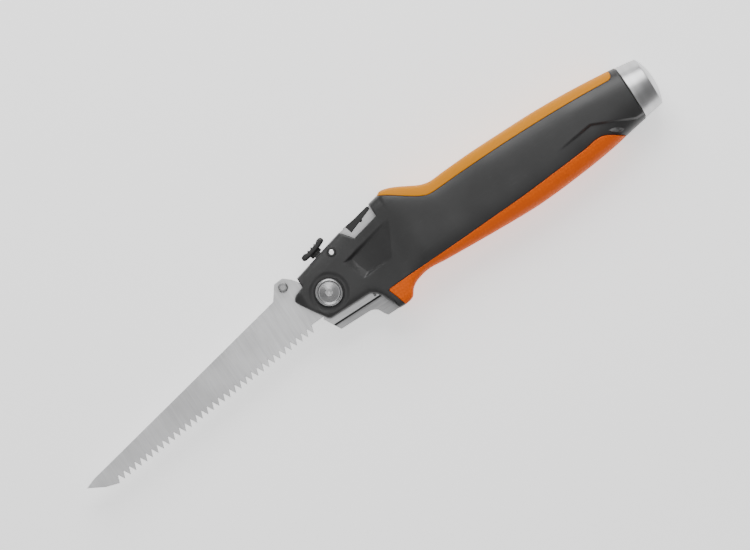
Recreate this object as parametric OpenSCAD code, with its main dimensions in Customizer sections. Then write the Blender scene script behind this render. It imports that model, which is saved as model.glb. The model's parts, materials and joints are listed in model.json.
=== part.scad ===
// Folding drywall saw: a tapered toothed blade that folds into the underside of a two-shell handle.
//
// Frame: +X runs from the pivot to the butt, +Y towards the spine, +Z towards the near side.
// The pivot axis is X = Y = 0, and Z = 0 is the outer face of the far-side pivot nut.

/* [Blade] */
// Distance from the pivot to the blade tip, along the handle
blade_reach = 160.6; // [120:1:200]
// Thickness of the blade
blade_t = 1.3; // [1:0.1:1.6]
// Distance between teeth
tooth_pitch = 3.63; // [2.5:0.01:5]
// Depth of the teeth
tooth_depth = 4; // [2:0.1:4.4]
// Radius of the round tang about the pivot
tang_r = 9.8; // [9:0.1:9.8]
// Angle that the blade turns from open to folded
fold_angle = 168; // [164:0.5:168]

/* [Pivot] */
// Radius of the bolt head and of the nut
head_r = 7.1; // [6:0.1:7.5]
// Radius of the bolt shank
shank_r = 2.5; // [2:0.1:3]
// Wall of the pivot bushing
bushing_wall = 1.5; // [1:0.1:2]
// Height of the bolt head above its seat
head_h = 3.1; // [2.5:0.1:4]
// Across-flats size of the hex socket
socket_af = 4; // [3:0.5:5]

/* [Handle] */
// Thickness of each steel frame plate
plate_t = 2; // [1.5:0.1:2.5]
// Half of the handle's thickness at the nose
nose_half = 10.2; // [9:0.1:12]
// Half of the handle's thickness at the belly
belly_half = 14.5; // [12:0.1:17]
// Wall of the hollow shells
shell_wall = 3; // [2:0.1:4]
// Room between the folded tip and the butt block
butt_room = 3.4; // [2:0.1:8]
// Length of the butt block's tongue, from its front to the cap
tongue_l = 22.6; // [18:0.1:30]

/* [End cap] */
// Radius of the cap where it meets the handle
cap_r = 15.2; // [13:0.1:17]
// Length of the cap's cone
cap_l = 11.4; // [9:0.1:16]
// Height of the dome on the cap
dome_h = 3.2; // [2:0.1:5]
// Slope of the cap's cone, in degrees
cap_slope = 8.5; // [0:0.5:10]
// Radius of the stub that carries the cap
stub_r = 5; // [4:0.1:7]

/* [Lock] */
// Slope of the lock's slide above the handle's axis, in degrees
lock_slope = 15.5; // [14:0.5:16]
// Length of the thumb pad
pad_l = 15.2; // [12:0.1:16]
// Width of the thumb pad
pad_w = 13; // [9:0.5:16]
// Thickness of the lock bar
bar_t = 1.7; // [1.2:0.1:1.7]
// Travel of the lock into the tang's notch
lock_in = 3; // [2:0.1:3]
// Travel of the lock away from the tang
lock_out = 5; // [3:0.1:5]
// Radius of the guide pin
guide_r = 1.5; // [1.2:0.1:1.6]
// Outer radius of the lock spring
spring_r = 1.75; // [1.5:0.05:1.8]
// Radius of the spring's wire
wire_r = 0.3; // [0.2:0.05:0.4]

/* [Fasteners] */
// Radius of the body screws' shanks
screw_r = 1.5; // [1.2:0.1:2]
// Radius of the body screws' heads
screw_head_r = 3; // [2.6:0.1:3.4]
// Wall of the screw inserts
insert_wall = 1; // [0.8:0.1:1.4]

/* [Clearances] */
// Radial clearance of the blade on its bushing
run_fit = 0.05; // [0.02:0.01:0.1]
// Room on each side of a thrust washer
washer_room = 0.05; // [0.03:0.01:0.1]
// Room between the blade and each frame plate
blade_room = 0.55; // [0.5:0.05:0.8]
// Gap between pieces that move past each other
move_gap = 0.3; // [0.3:0.05:0.4]
// Clearance of fixed pieces in their seats
seat_gap = 0.02; // [0.01:0.01:0.05]
// Clearance of the guide pin in its slot
guide_gap = 0.1; // [0.05:0.05:0.3]

/* [Hidden] */
$fn = 64;

// Reach of a cutter that goes right through.
beyond = 20;

// ---- heights, measured from the handle's middle plane ----
plate_in = blade_t / 2 + blade_room;
plate_out = plate_in + plate_t;
seat_w = nose_half - 0.6;
mid_z = seat_w + head_h;
bushing_r = shank_r + seat_gap + bushing_wall;

// ---- lengths along the handle ----
head_end = 48;
butt_front = blade_reach + butt_room;
cap_x = butt_front + tongue_l;
drawn_cap_x = 186.6;
stretch = (cap_x - head_end) / (drawn_cap_x - head_end);
butt_y = 1.7;
cap_pin_r = 1.6;
cap_pin_x = cap_x - 6.6;
stub_end = cap_x + cap_l * 0.6;
collar_l = 2.2;
collar_wall = 6;

// Where a station of the drawn handle lies: the grip stretches with the blade, the head does not.
function along(x) = x <= head_end ? x : head_end + (x - head_end) * stretch;

function stretched(points) = [for (p = points) [along(p[0]), p[1]]];

// Height at x of a straight line through the points.
function line_at(pts, x, i = 0) =
    x <= pts[0][0] ? pts[0][1]
    : i >= len(pts) - 1 ? pts[len(pts) - 1][1]
    : x <= pts[i + 1][0]
        ? pts[i][1] + (pts[i + 1][1] - pts[i][1]) * (x - pts[i][0]) / (pts[i + 1][0] - pts[i][0])
    : line_at(pts, x, i + 1);

// Slope of a smooth curve at point i.
function tangent(pts, i) =
    i == 0 ? (pts[1][1] - pts[0][1]) / (pts[1][0] - pts[0][0])
    : i == len(pts) - 1 ? (pts[i][1] - pts[i - 1][1]) / (pts[i][0] - pts[i - 1][0])
    : (pts[i + 1][1] - pts[i - 1][1]) / (pts[i + 1][0] - pts[i - 1][0]);

// Height at x of a smooth curve through the points.
function curve_at(pts, x, i = 0) =
    x <= pts[0][0] ? pts[0][1]
    : i >= len(pts) - 1 ? pts[len(pts) - 1][1]
    : x <= pts[i + 1][0] ? hermite(pts, x, i)
    : curve_at(pts, x, i + 1);

function hermite(pts, x, i) =
    let (
        d = pts[i + 1][0] - pts[i][0],
        u = (x - pts[i][0]) / d,
        a = tangent(pts, i) * d,
        b = tangent(pts, i + 1) * d,
        y0 = pts[i][1],
        y1 = pts[i + 1][1]
    )
    y0 + u * a + u * u * (3 * (y1 - y0) - 2 * a - b) + u * u * u * (2 * (y0 - y1) + a + b);

// Points of a round stretch.
function arc(c, r, from, to, n = 8) =
    [for (i = [0:n]) c + r * [cos(from + (to - from) * i / n), sin(from + (to - from) * i / n)]];

// A point given along and across the lock's slide.
function on_slide(s, n) =
    [s * cos(lock_slope) - n * sin(lock_slope), s * sin(lock_slope) + n * cos(lock_slope)];

// ---- outline of the handle ----
nose_x = -17.4;
brow_x = -10.2;
window_x0 = 21;
window_x1 = 41.7;
strip_x0 = 47.7;
strip_x1 = 183;
grip_x0 = 26.4;
grip_x1 = 172.6;

top_nose = [[nose_x, 5.6], [-17.1, 6.3], [-16.5, 7.1], [-15.3, 8], [brow_x, 9.9]];
top_head = [[brow_x, 15.1], [20.5, 23.1], [strip_x0, 28.6]];
top_grip = stretched([
    [strip_x0, 28.6], [50, 29.7], [55, 28.6], [60, 26.3], [65, 23.5], [70, 21], [75, 19.9],
    [82, 20.3], [100, 21], [120, 21.1], [140, 20.9], [160, 19.8], [180, 17.9], [187, 17]
]);
bottom_nose = [[nose_x, 5], [-17.1, 4.3], [-16.2, 2.4], [-8, -11], [-6.6, -12], [17.5, -12],
    [20.5, -14.2], [22.3, -17], [26.3, -26.7]];
bottom_grip = stretched([
    [26.4, -26.7], [30, -26.8], [35, -25.6], [38, -22], [42, -19.6], [50, -18], [60, -18.8],
    [80, -20], [100, -21], [115, -21.4], [130, -20.8], [150, -19.2], [165, -17.4], [175, -15.6],
    [187, -13.6]
]);
strip_inner = stretched([
    [strip_x0, 28.4], [50, 27.2], [55, 23.9], [60, 20.3], [65, 16.9], [70, 14.6], [75, 14.3],
    [90, 14.9], [120, 15.4], [150, 14.9], [170, 13.9], [180, 13.2], [strip_x1, 14.2]
]);
grip_upper = stretched([
    [grip_x0, -16.2], [28, -15.5], [50, -14.8], [70, -14.3], [90, -13.6], [110, -12.9],
    [130, -11.6], [150, -10.2], [162, -9.3], [grip_x1, -15.6]
]);
half_line = stretched([
    [nose_x, nose_half - 1.4], [-12, nose_half], [22, nose_half], [40, nose_half + 1.8],
    [56, belly_half - 0.7], [76, belly_half - 1.3], [110, belly_half], [150, belly_half],
    [187, belly_half]
]);
square_line = stretched([[nose_x, 8], [20, 8], [50, 4], [80, 3], [150, 2.6], [187, 2.2]]);

function top_y(x) =
    x < brow_x ? line_at(top_nose, x) : x < strip_x0 ? line_at(top_head, x) : curve_at(top_grip, x);
function bottom_y(x) = x < grip_x0 ? line_at(bottom_nose, x) : curve_at(bottom_grip, x);
function grip_y(x) = max(curve_at(grip_upper, x), bottom_y(x) + 0.2);
function strip_y(x) = min(curve_at(strip_inner, x), top_y(x) - 0.2);

// Half thickness of the handle at a station and a height.
function half_at(x, y) =
    let (
        q = min(1, abs(2 * y - top_y(x) - bottom_y(x)) / (top_y(x) - bottom_y(x))),
        p = line_at(square_line, x)
    )
    plate_out + (curve_at(half_line, x) - plate_out) * pow(max(0, 1 - pow(q, p)), 1 / p);

// Heights from lo to hi, closer together near the rounded edges of the handle.
function levels(x, lo, hi, n) =
    let (
        c = (top_y(x) + bottom_y(x)) / 2,
        a = (top_y(x) - bottom_y(x)) / 2,
        t0 = acos(max(-1, min(1, (c - lo) / a))),
        t1 = acos(max(-1, min(1, (c - hi) / a)))
    )
    [for (i = [0:n]) i == 0 ? lo : i == n ? hi : c - a * cos(t0 + (t1 - t0) * i / n)];

// Ring of points around a slice of the near half, from its inner face out.
function half_ring(x, lo, hi, n) = concat(
    [[x, lo, plate_out]],
    [for (y = levels(x, lo, hi, n)) [x, y, max(plate_out + 0.15, half_at(x, y))]],
    [[x, hi, plate_out]]
);

// Skin that joins rings of equal length, with an end at each side.
module loft(rings) {
    m = len(rings[0]);
    n = len(rings);
    pts = [for (r = rings) for (p = r) p];
    sides = [for (i = [0:n - 2]) for (j = [0:m - 1])
        let (k = (j + 1) % m, a = i * m, b = a + m)
        each [[a + j, a + k, b + k], [a + j, b + k, b + j]]];
    ends = [
        [for (j = [m - 1:-1:0]) j],
        [for (j = [0:m - 1]) (n - 1) * m + j]
    ];
    polyhedron(pts, concat(sides, ends), convexity = 8);
}

// Stations from a to b with the given spacing.
function stations(a, b, step) =
    let (n = max(1, round(abs(b - a) / step)))
    [for (i = [0:n]) a + (b - a) * i / n];

// Near half of a piece between two curves.
module near_half(xs, los, his, n) {
    loft([for (i = [0:len(xs) - 1]) half_ring(xs[i], los[i], his[i], n)]);
}

module near_side() {
    translate([0, 0, mid_z]) children();
}

module far_side() {
    translate([0, 0, mid_z]) mirror([0, 0, 1]) children();
}

module rod(at, r, from, to) {
    translate([at[0], at[1], from]) cylinder(r = r, h = to - from);
}

module slab(points, from, to) {
    translate([0, 0, from]) linear_extrude(to - from) polygon(points);
}

// ---- stations that the handle's pieces share ----
wall_run = 0.2;
shell_xs = concat(
    [nose_x, -17.1, -16.5, -16.2, -15.3, -12, brow_x - wall_run, brow_x, -8, -6.6, 2, 10, 17.5],
    [20.5, window_x0, 23.3],
    [grip_x0 - wall_run], stations(grip_x0, window_x1 - wall_run, 3.1), [window_x1],
    stations(strip_x0, along(76), 2.4), stations(along(82), along(grip_x1), 7),
    stations(along(grip_x1) + wall_run, along(strip_x1), 4), [along(strip_x1) + wall_run, cap_x]
);
strip_xs = [for (x = shell_xs) if (x >= strip_x0 && x <= along(strip_x1)) x];
grip_xs = [for (x = shell_xs) if (x >= grip_x0 && x < along(grip_x1)) x];

// ---- saw blade ----
heel = [-18.2, -13.4];
hump_c = [-18.9, 15.2];
tip_run = 15.6;
tooth_slope = 4.69;
tip_y = -16.9;
tooth_line_l = (blade_reach - tip_run + heel[0]) / cos(tooth_slope);
tooth_n = floor(tooth_line_l / tooth_pitch);
tooth_dir = [-cos(tooth_slope), -sin(tooth_slope)];
tooth_up = [-sin(tooth_slope), cos(tooth_slope)];
toe = heel + tooth_dir * tooth_n * tooth_pitch;
notch_s = 3.8;
notch_n = 6.8;
stud_rivet_r = 1.2;
stud_neck_r = 1.8;
stud_neck_top = plate_out + 0.4;
stud_r = 2.7;
stud_top = plate_out + 2.7;
stud_chamfer = 0.5;

teeth = [for (i = [0:tooth_n - 1]) let (t = heel + tooth_dir * i * tooth_pitch)
    each [t, t + tooth_dir * tooth_pitch / 2 + tooth_up * tooth_depth]];

blade_outline = concat(
    [[-8.4, -5], [-8.6, -9], [-16.9, -9.3]],
    teeth,
    [toe, [toe[0] - 7, toe[1] + 2.1], [-blade_reach, tip_y], [5.6 - blade_reach, tip_y + 2.1]],
    [[-27.1, 11.6], [-22.1, 18.6], [-21.4, 19], [-16.6, 19.3], [-13.1, 16.4], [-11, 13.7]],
    [[-7.4, 6.4]]
);

module notch(turn) {
    rotate(lock_slope + turn)
        translate([notch_s, notch_n, -beyond])
            cube([tang_r, tang_r, 2 * beyond]);
}

module saw_blade() {
    color("silver") near_side() difference() {
        union() {
            slab(blade_outline, -blade_t / 2, blade_t / 2);
            rod([0, 0], tang_r, -blade_t / 2, blade_t / 2);
        }
        rod([0, 0], bushing_r + run_fit, -beyond, beyond);
        rod(hump_c, stud_rivet_r + seat_gap, -beyond, beyond);
        notch(0);
        notch(-fold_angle);
    }
}

module thumb_stud() {
    color("gainsboro") near_side() {
        rod(hump_c, stud_rivet_r, -blade_t / 2, blade_t / 2);
        rod(hump_c, stud_neck_r, blade_t / 2, stud_neck_top);
        rod(hump_c, stud_r, stud_neck_top, stud_top - stud_chamfer);
        translate([hump_c[0], hump_c[1], stud_top - stud_chamfer])
            cylinder(r1 = stud_r, r2 = stud_r - stud_chamfer, h = stud_chamfer);
    }
}

// ---- pivot ----
ring_r = head_r + 1;
barrel_r = shank_r + 1.5;
barrel_in = plate_out + 1;
nut_floor = 1.6;
head_chamfer = 0.6;
face_r = head_r - 1.4;
face_drop = 0.4;
socket_depth = 2.4;
spanner_r = 0.9;
nut_depth = mid_z - barrel_in - nut_floor;

module pivot_bolt() {
    color("lightgray") near_side() difference() {
        union() {
            rod([0, 0], head_r, seat_w, mid_z - head_chamfer);
            translate([0, 0, mid_z - head_chamfer])
                cylinder(r1 = head_r, r2 = head_r - head_chamfer, h = head_chamfer);
            rod([0, 0], shank_r, nut_floor + 0.4 - mid_z, seat_w);
        }
        translate([0, 0, mid_z - face_drop]) difference() {
            cylinder(r = face_r, h = 1);
            cylinder(r1 = face_r, r2 = 0, h = face_r / 8);
        }
        translate([0, 0, mid_z - socket_depth]) cylinder(r = socket_af / sqrt(3), h = 3, $fn = 6);
    }
}

module pivot_nut() {
    color("lightgray") far_side() difference() {
        union() {
            rod([0, 0], head_r, seat_w, mid_z - head_chamfer);
            translate([0, 0, mid_z - head_chamfer])
                cylinder(r1 = head_r, r2 = head_r - head_chamfer, h = head_chamfer);
            rod([0, 0], barrel_r, barrel_in, seat_w);
        }
        rod([0, 0], shank_r + seat_gap, barrel_in - 1, mid_z - nut_floor);
        for (side = [-1, 1]) rod([side * head_r * 0.62, 0], spanner_r, mid_z - 1.2, mid_z + 1);
    }
}

module pivot_ring() {
    color([0.09, 0.09, 0.1]) for (side = [0, 1])
        translate([0, 0, mid_z]) mirror([0, 0, side]) difference() {
            rod([0, 0], ring_r - seat_gap, seat_w, nose_half + 0.3);
            rod([0, 0], head_r + seat_gap, seat_w - 1, nose_half + 1);
        }
}

module pivot_bushing() {
    color("goldenrod") near_side() difference() {
        rod([0, 0], bushing_r, -plate_out, plate_out);
        rod([0, 0], shank_r + seat_gap, -plate_out - 1, plate_out + 1);
    }
}

module thrust_washer() {
    difference() {
        rod([0, 0], tang_r - 2, blade_t / 2 + washer_room, plate_in - washer_room);
        rod([0, 0], bushing_r + run_fit, 0, plate_in + 1);
    }
}

module near_washer() {
    color("ivory") near_side() thrust_washer();
}

module far_washer() {
    color("ivory") far_side() thrust_washer();
}

// ---- frame plates ----
trim_top = -15.4;
trim_h = 0.9;
edge_inset = 1.2;
guide_s = 16.2;
guide_n = 12.8;
guide_at = on_slide(guide_s, guide_n);
stop_r = 1.5;
stop_at = [-6.6, 11.9];
spring_s0 = 23.5;
spring_s1 = 35;
spring_n = 9.6;
screw_at = [[52, 14], [95, 8], [135, 4.5], [172, 1.7]];

plate_rear = butt_front + tongue_l - 3.2;
plate_lower = [for (x = stations(27.5, plate_rear, 12)) [x, bottom_y(x) + edge_inset]];
plate_upper = concat(
    [[plate_rear, strip_y(plate_rear) - 0.8]],
    [for (i = [len(strip_xs) - 1:-1:0]) [strip_xs[i], strip_y(strip_xs[i]) - 0.1]]
);

plate_top = [[strip_x0, 27.8], [20.5, 22.9], [-8.6, 14.9], [-8.9, 10.4], [-15.8, 6.4]];

near_plate_outline = concat(
    [[-15.8, 2.2], [-8.8, -8.2], [-10.1, -10.2], [-7.2, trim_top], [21.2, trim_top], [23.4, -19]],
    plate_lower, plate_upper, plate_top
);

guard_y = -26.5;
far_plate_outline = concat(
    [[-15.8, 2.2], [-8.8, -8.2], [-10.1, -10.2], [-5.1, -19.4]],
    arc([11.7, -26.5], 6.9, 90, 45, 5),
    [[18, -24.6], [19.4, guard_y], [26.2, guard_y]],
    plate_lower, plate_upper, plate_top
);

// Holes that both frame plates share.
module plate_holes() {
    rod([0, 0], bushing_r + seat_gap, 0, beyond);
    rod(guide_at, guide_r + seat_gap, 0, beyond);
    rod(stop_at, stop_r + seat_gap, 0, beyond);
    for (p = screw_at) rod([along(p[0]), p[1]], screw_r + seat_gap, 0, beyond);
    rod([cap_pin_x, butt_y], cap_pin_r + seat_gap, 0, beyond);
    rotate(lock_slope)
        translate([spring_s0 - lock_in - 1, spring_n - spring_r - move_gap, 0])
            cube([spring_s1 + lock_in + 1 - spring_s0, 2 * (spring_r + move_gap), spring_r + move_gap]);
}

window_wedge = [[25.1, 24.6], [26.5, 19.7], [40.9, 24.9], [40.6, 27.6]];
wedge_infill = [[25.4, 23.7], [26.6, 20.05], [40.6, 25], [40.3, 26.8]];

module near_frame_plate() {
    color("lightsteelblue") near_side() difference() {
        slab(near_plate_outline, plate_in, plate_out);
        plate_holes();
        slab(window_wedge, 0, beyond);
        rod([33.6, 22.5], 1, 0, beyond);
        translate([18.6, -14.6, 0]) cube([1, 2.2, beyond]);
    }
}

module far_frame_plate() {
    color("lightsteelblue") far_side() difference() {
        slab(far_plate_outline, plate_in, plate_out);
        plate_holes();
    }
}

module slot_trim() {
    color([0.1, 0.1, 0.1]) near_side()
        slab([[-7.2, trim_top], [-6.8, trim_top - trim_h], [21.4, trim_top - trim_h],
            [21.2, trim_top]], plate_in, plate_out);
}

// ---- shells, strip and grips ----
window_floor = [[window_x0, 23.2], [grip_x0 - wall_run, 16.4], [window_x1, 20]];

function shell_hi(x) =
    x > window_x0 && x < window_x1 - wall_run / 2 ? line_at(window_floor, x)
    : x >= strip_x0 && x <= along(strip_x1) ? strip_y(x)
    : top_y(x);
function shell_lo(x) = x >= grip_x0 && x <= along(grip_x1) ? grip_y(x) : bottom_y(x);

boss_r = screw_r + insert_wall + 2.4;
insert_top = plate_out + 6.5;
screw_seat = plate_out + 4.4;
ring_pin_r = guide_r + 1;

// Hollow inside a shell, from the plate out to the wall.
module shell_hollow() {
    xs = stations(62, along(162), 10);
    difference() {
        slab(concat(
            [for (x = xs) [x, grip_y(x) + shell_wall]],
            [for (i = [len(xs) - 1:-1:0]) [xs[i], strip_y(xs[i]) - shell_wall]]
        ), plate_out, belly_half - shell_wall - 1.6);
        for (p = screw_at) rod([along(p[0]), p[1]], boss_r, 0, beyond);
    }
}

module shell_body() {
    difference() {
        near_half(shell_xs, [for (x = shell_xs) shell_lo(x)], [for (x = shell_xs) shell_hi(x)], 8);
        rod([0, 0], ring_r, seat_w, beyond);
        shell_hollow();
        translate([cap_x - collar_l, butt_y, 0]) rotate([0, 90, 0])
            cylinder(r = stub_r + collar_wall + seat_gap, h = collar_l + 1);
        translate([plate_rear - 1, butt_y, 0]) rotate([0, 90, 0])
            cylinder(r = stub_r + seat_gap, h = 10);
        rod(guide_at, ring_pin_r, 0, beyond);
    }
}

module near_shell() {
    color([0.16, 0.16, 0.17]) near_side() difference() {
        shell_body();
        rod([0, 0], shank_r + 0.1, 0, beyond);
        for (p = screw_at)
            rod([along(p[0]), p[1]], screw_r + insert_wall + seat_gap, 0, insert_top + 0.1);
    }
}

module far_shell() {
    color([0.16, 0.16, 0.17]) far_side() difference() {
        shell_body();
        rod([0, 0], barrel_r + 0.1, 0, beyond);
        for (p = screw_at) {
            rod([along(p[0]), p[1]], screw_r + 0.1, 0, beyond);
            rod([along(p[0]), p[1]], screw_head_r + 0.2, screw_seat, beyond);
        }
    }
}

function strip_ring(x) =
    let (half = [for (y = levels(x, strip_y(x), top_y(x), 5)) [x, y, half_at(x, y)]])
    concat(half, [for (i = [len(half) - 1:-1:0]) [x, half[i][1], -half[i][2]]]);

module spine_strip() {
    color([0.97, 0.62, 0.12]) near_side() loft([for (x = strip_xs) strip_ring(x)]);
}

module grip_body() {
    near_half(grip_xs, [for (x = grip_xs) bottom_y(x)], [for (x = grip_xs) grip_y(x)], 6);
}

module near_grip() {
    color([0.93, 0.43, 0.14]) near_side() grip_body();
}

module far_grip() {
    color([0.93, 0.43, 0.14]) far_side() grip_body();
}

// ---- middle of the handle ----
spacer_w = plate_in - seat_gap;
spacer_front = 29.2;
spring_top = spring_n + spring_r + move_gap;
spacer_xs = [for (x = strip_xs) if (x < along(158)) x];

module spine_spacer() {
    color([0.12, 0.12, 0.13]) near_side() difference() {
        union() {
            slab(concat(
                [on_slide(spring_s1, 7.4), on_slide(spring_s1, spring_top),
                    on_slide(spacer_front, spring_top), on_slide(spacer_front, 16.6), [40.5, 26.3]],
                [for (x = spacer_xs) [x, strip_y(x) - 0.2]],
                [[spacer_xs[len(spacer_xs) - 1], -1.2]]
            ), -spacer_w, spacer_w);
            slab(wedge_infill, 0, plate_out + 0.3);
        }
        for (p = screw_at) rod([along(p[0]), p[1]], screw_r + seat_gap, -beyond, beyond);
    }
}

module butt_block() {
    color("dimgray") near_side() difference() {
        union() {
            slab([[butt_front, butt_y - 8], [plate_rear, butt_y - 8], [plate_rear, butt_y + 9],
                [butt_front + 3, butt_y + 9], [butt_front, butt_y + 6]], -spacer_w, spacer_w);
            translate([plate_rear, butt_y, 0]) rotate([0, 90, 0])
                cylinder(r = stub_r, h = stub_end - plate_rear);
        }
        rod([along(172), butt_y], screw_r + seat_gap, -beyond, beyond);
        rod([cap_pin_x, butt_y], cap_pin_r + seat_gap, -beyond, beyond);
    }
}

module end_cap() {
    r1 = cap_r - cap_l * tan(cap_slope);
    dome_r = (pow(r1 - 1, 2) + pow(dome_h - 0.6, 2)) / (2 * (dome_h - 0.6));
    color("lightgray") translate([cap_x, butt_y, mid_z]) rotate([0, 90, 0]) rotate_extrude()
        polygon(concat(
            [[0, stub_end - cap_x + 0.3], [stub_r + seat_gap, stub_end - cap_x + 0.3],
                [stub_r + seat_gap, 0], [cap_r, 0], [r1, cap_l]],
            [for (i = [0:10])
                let (r = (r1 - 0.8) * (1 - i / 10))
                [r, cap_l + 0.6 + sqrt(dome_r * dome_r - r * r) - dome_r + dome_h - 0.6]]
        ));
}

module cap_collar() {
    color("darkgray") translate([cap_x - collar_l, butt_y, mid_z]) rotate([0, 90, 0]) difference() {
        cylinder(r = stub_r + collar_wall, h = collar_l);
        translate([0, 0, -1]) cylinder(r = stub_r + seat_gap, h = collar_l + 2);
    }
}

module cap_pin() {
    color("silver") near_side() rod([cap_pin_x, butt_y], cap_pin_r, -plate_out, plate_out);
}

// ---- lock ----
bar_s0 = 7.2;
bar_n0 = 7.1;
bar_n1 = 15.5;
tab_s0 = 8.6;
tab_s1 = 12.4;
stem_n0 = 17.6;
pad_n0 = 19.6;
pad_h = 3;
pad_s0 = 3.2;
stem_half = 2.6;
rivet_s = (tab_s0 + tab_s1) / 2;
rivet_n = stem_n0 + 0.9;
rivet_r = 0.45;

module lock_bar() {
    color("gray") near_side() rotate(lock_slope) difference() {
        union() {
            slab([[bar_s0, bar_n0], [spring_s0, bar_n0], [spring_s0, bar_n0 + 5.4], [21, bar_n1],
                [bar_s0, bar_n1]], -bar_t / 2, bar_t / 2);
            slab([[tab_s0, bar_n1 - 1], [tab_s1, bar_n1 - 1], [tab_s1, stem_n0 + 1.6],
                [tab_s0, stem_n0 + 1.6]], -bar_t / 2, bar_t / 2);
        }
        guide_slot();
        rod([rivet_s, rivet_n], rivet_r + seat_gap, -beyond, beyond);
    }
}

module guide_slot() {
    r = guide_r + guide_gap;
    rod([guide_s - lock_out, guide_n], r, -beyond, beyond);
    rod([guide_s + lock_in, guide_n], r, -beyond, beyond);
    translate([guide_s - lock_out, guide_n - r, -beyond])
        cube([lock_out + lock_in, 2 * r, 2 * beyond]);
}

module rib(s) {
    translate([s, pad_n0 + pad_h, -pad_w / 2]) cylinder(r = 0.6, h = pad_w);
}

module lock_slider() {
    color([0.08, 0.08, 0.09]) near_side() rotate(lock_slope) difference() {
        union() {
            slab([[7.2, stem_n0], [13.8, stem_n0], [13.8, pad_n0 + 1], [7.2, pad_n0 + 1]],
                -stem_half, stem_half);
            slab(concat(
                arc([pad_s0 + 1.5, pad_n0 + 1.6], 1.5, 90, 250, 6),
                arc([pad_s0 + pad_l - 1.5, pad_n0 + 1.6], 1.5, 290, 450, 6),
                [[pad_s0 + pad_l - 3, pad_n0 + pad_h], [pad_s0 + 3, pad_n0 + pad_h]]
            ), -pad_w / 2, pad_w / 2);
            for (i = [0:4]) rib(pad_s0 + pad_l / 2 + (i - 2) * 2.2);
        }
        slab([[tab_s0 - seat_gap, 0], [tab_s1 + seat_gap, 0],
            [tab_s1 + seat_gap, stem_n0 + 1.6 + seat_gap], [tab_s0 - seat_gap, stem_n0 + 1.6 + seat_gap]],
            -bar_t / 2 - seat_gap, bar_t / 2 + seat_gap);
        rod([rivet_s, rivet_n], rivet_r + seat_gap, -beyond, beyond);
    }
}

module lock_rivet() {
    color("silver") near_side() rotate(lock_slope) rod([rivet_s, rivet_n], rivet_r, -stem_half, stem_half);
}

spring_turns = 5;
ring_sides = 10;

function coil_point(u) = [
    spring_s0 + wire_r + 0.02 + (spring_s1 - spring_s0 - 2 * wire_r - 0.04) * u,
    spring_n + (spring_r - wire_r) * cos(360 * spring_turns * u),
    (spring_r - wire_r) * sin(360 * spring_turns * u)
];

function wire_ring(u) =
    let (
        c = coil_point(u),
        a = 360 * spring_turns * u
    )
    [for (j = [0:ring_sides - 1]) let (b = 360 * j / ring_sides)
        c + wire_r * [sin(b), cos(b) * cos(a), cos(b) * sin(a)]];

module lock_spring() {
    steps = spring_turns * 16;
    color("silver") near_side() rotate(lock_slope)
        loft([for (i = [0:steps]) wire_ring(i / steps)]);
}

module guide_pin() {
    color("white") near_side() {
        rod(guide_at, guide_r, -plate_out, plate_out);
        rod(guide_at, guide_r, plate_out, nose_half - 0.2);
    }
}

module guide_pin_ring() {
    color([0.1, 0.1, 0.1]) near_side() difference() {
        rod(guide_at, ring_pin_r - seat_gap, plate_out, nose_half - 0.4);
        rod(guide_at, guide_r + seat_gap, 0, beyond);
    }
}

module stop_pin() {
    color("silver") near_side() rod(stop_at, stop_r, -plate_out, plate_out);
}

// ---- fasteners ----
module body_screws() {
    color([0.2, 0.2, 0.22]) far_side() for (p = screw_at) difference() {
        union() {
            rod([along(p[0]), p[1]], screw_r, -insert_top + 0.4, screw_seat);
            rod([along(p[0]), p[1]], screw_head_r, screw_seat, screw_seat + 2);
        }
        translate([along(p[0]), p[1], screw_seat + 1]) cylinder(r = 1.3, h = 3, $fn = 6);
    }
}

module screw_inserts() {
    color("goldenrod") near_side() for (p = screw_at) difference() {
        rod([along(p[0]), p[1]], screw_r + insert_wall, plate_out, insert_top);
        rod([along(p[0]), p[1]], screw_r + seat_gap, plate_out - 1, insert_top - 0.2);
    }
}

saw_blade();
thumb_stud();
pivot_bolt();
pivot_nut();
pivot_bushing();
pivot_ring();
near_washer();
far_washer();
near_frame_plate();
far_frame_plate();
slot_trim();
near_shell();
far_shell();
spine_strip();
near_grip();
far_grip();
spine_spacer();
butt_block();
end_cap();
cap_collar();
cap_pin();
guide_pin();
guide_pin_ring();
lock_slider();
lock_bar();
lock_rivet();
lock_spring();
stop_pin();
body_screws();
screw_inserts();
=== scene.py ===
"""Looks of a folding drywall saw: a tapered toothed blade that folds into a two-shell handle.

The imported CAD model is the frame. Shells, strip, grips, cap, bolt, stud and thumb pad are new
surfaces in that frame, the flat steel pieces are copies with broken edges, and what is left of
the CAD model gets its finish.
"""

import json
import logging
import math
from collections.abc import Callable
from dataclasses import dataclass
from enum import Enum

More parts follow.
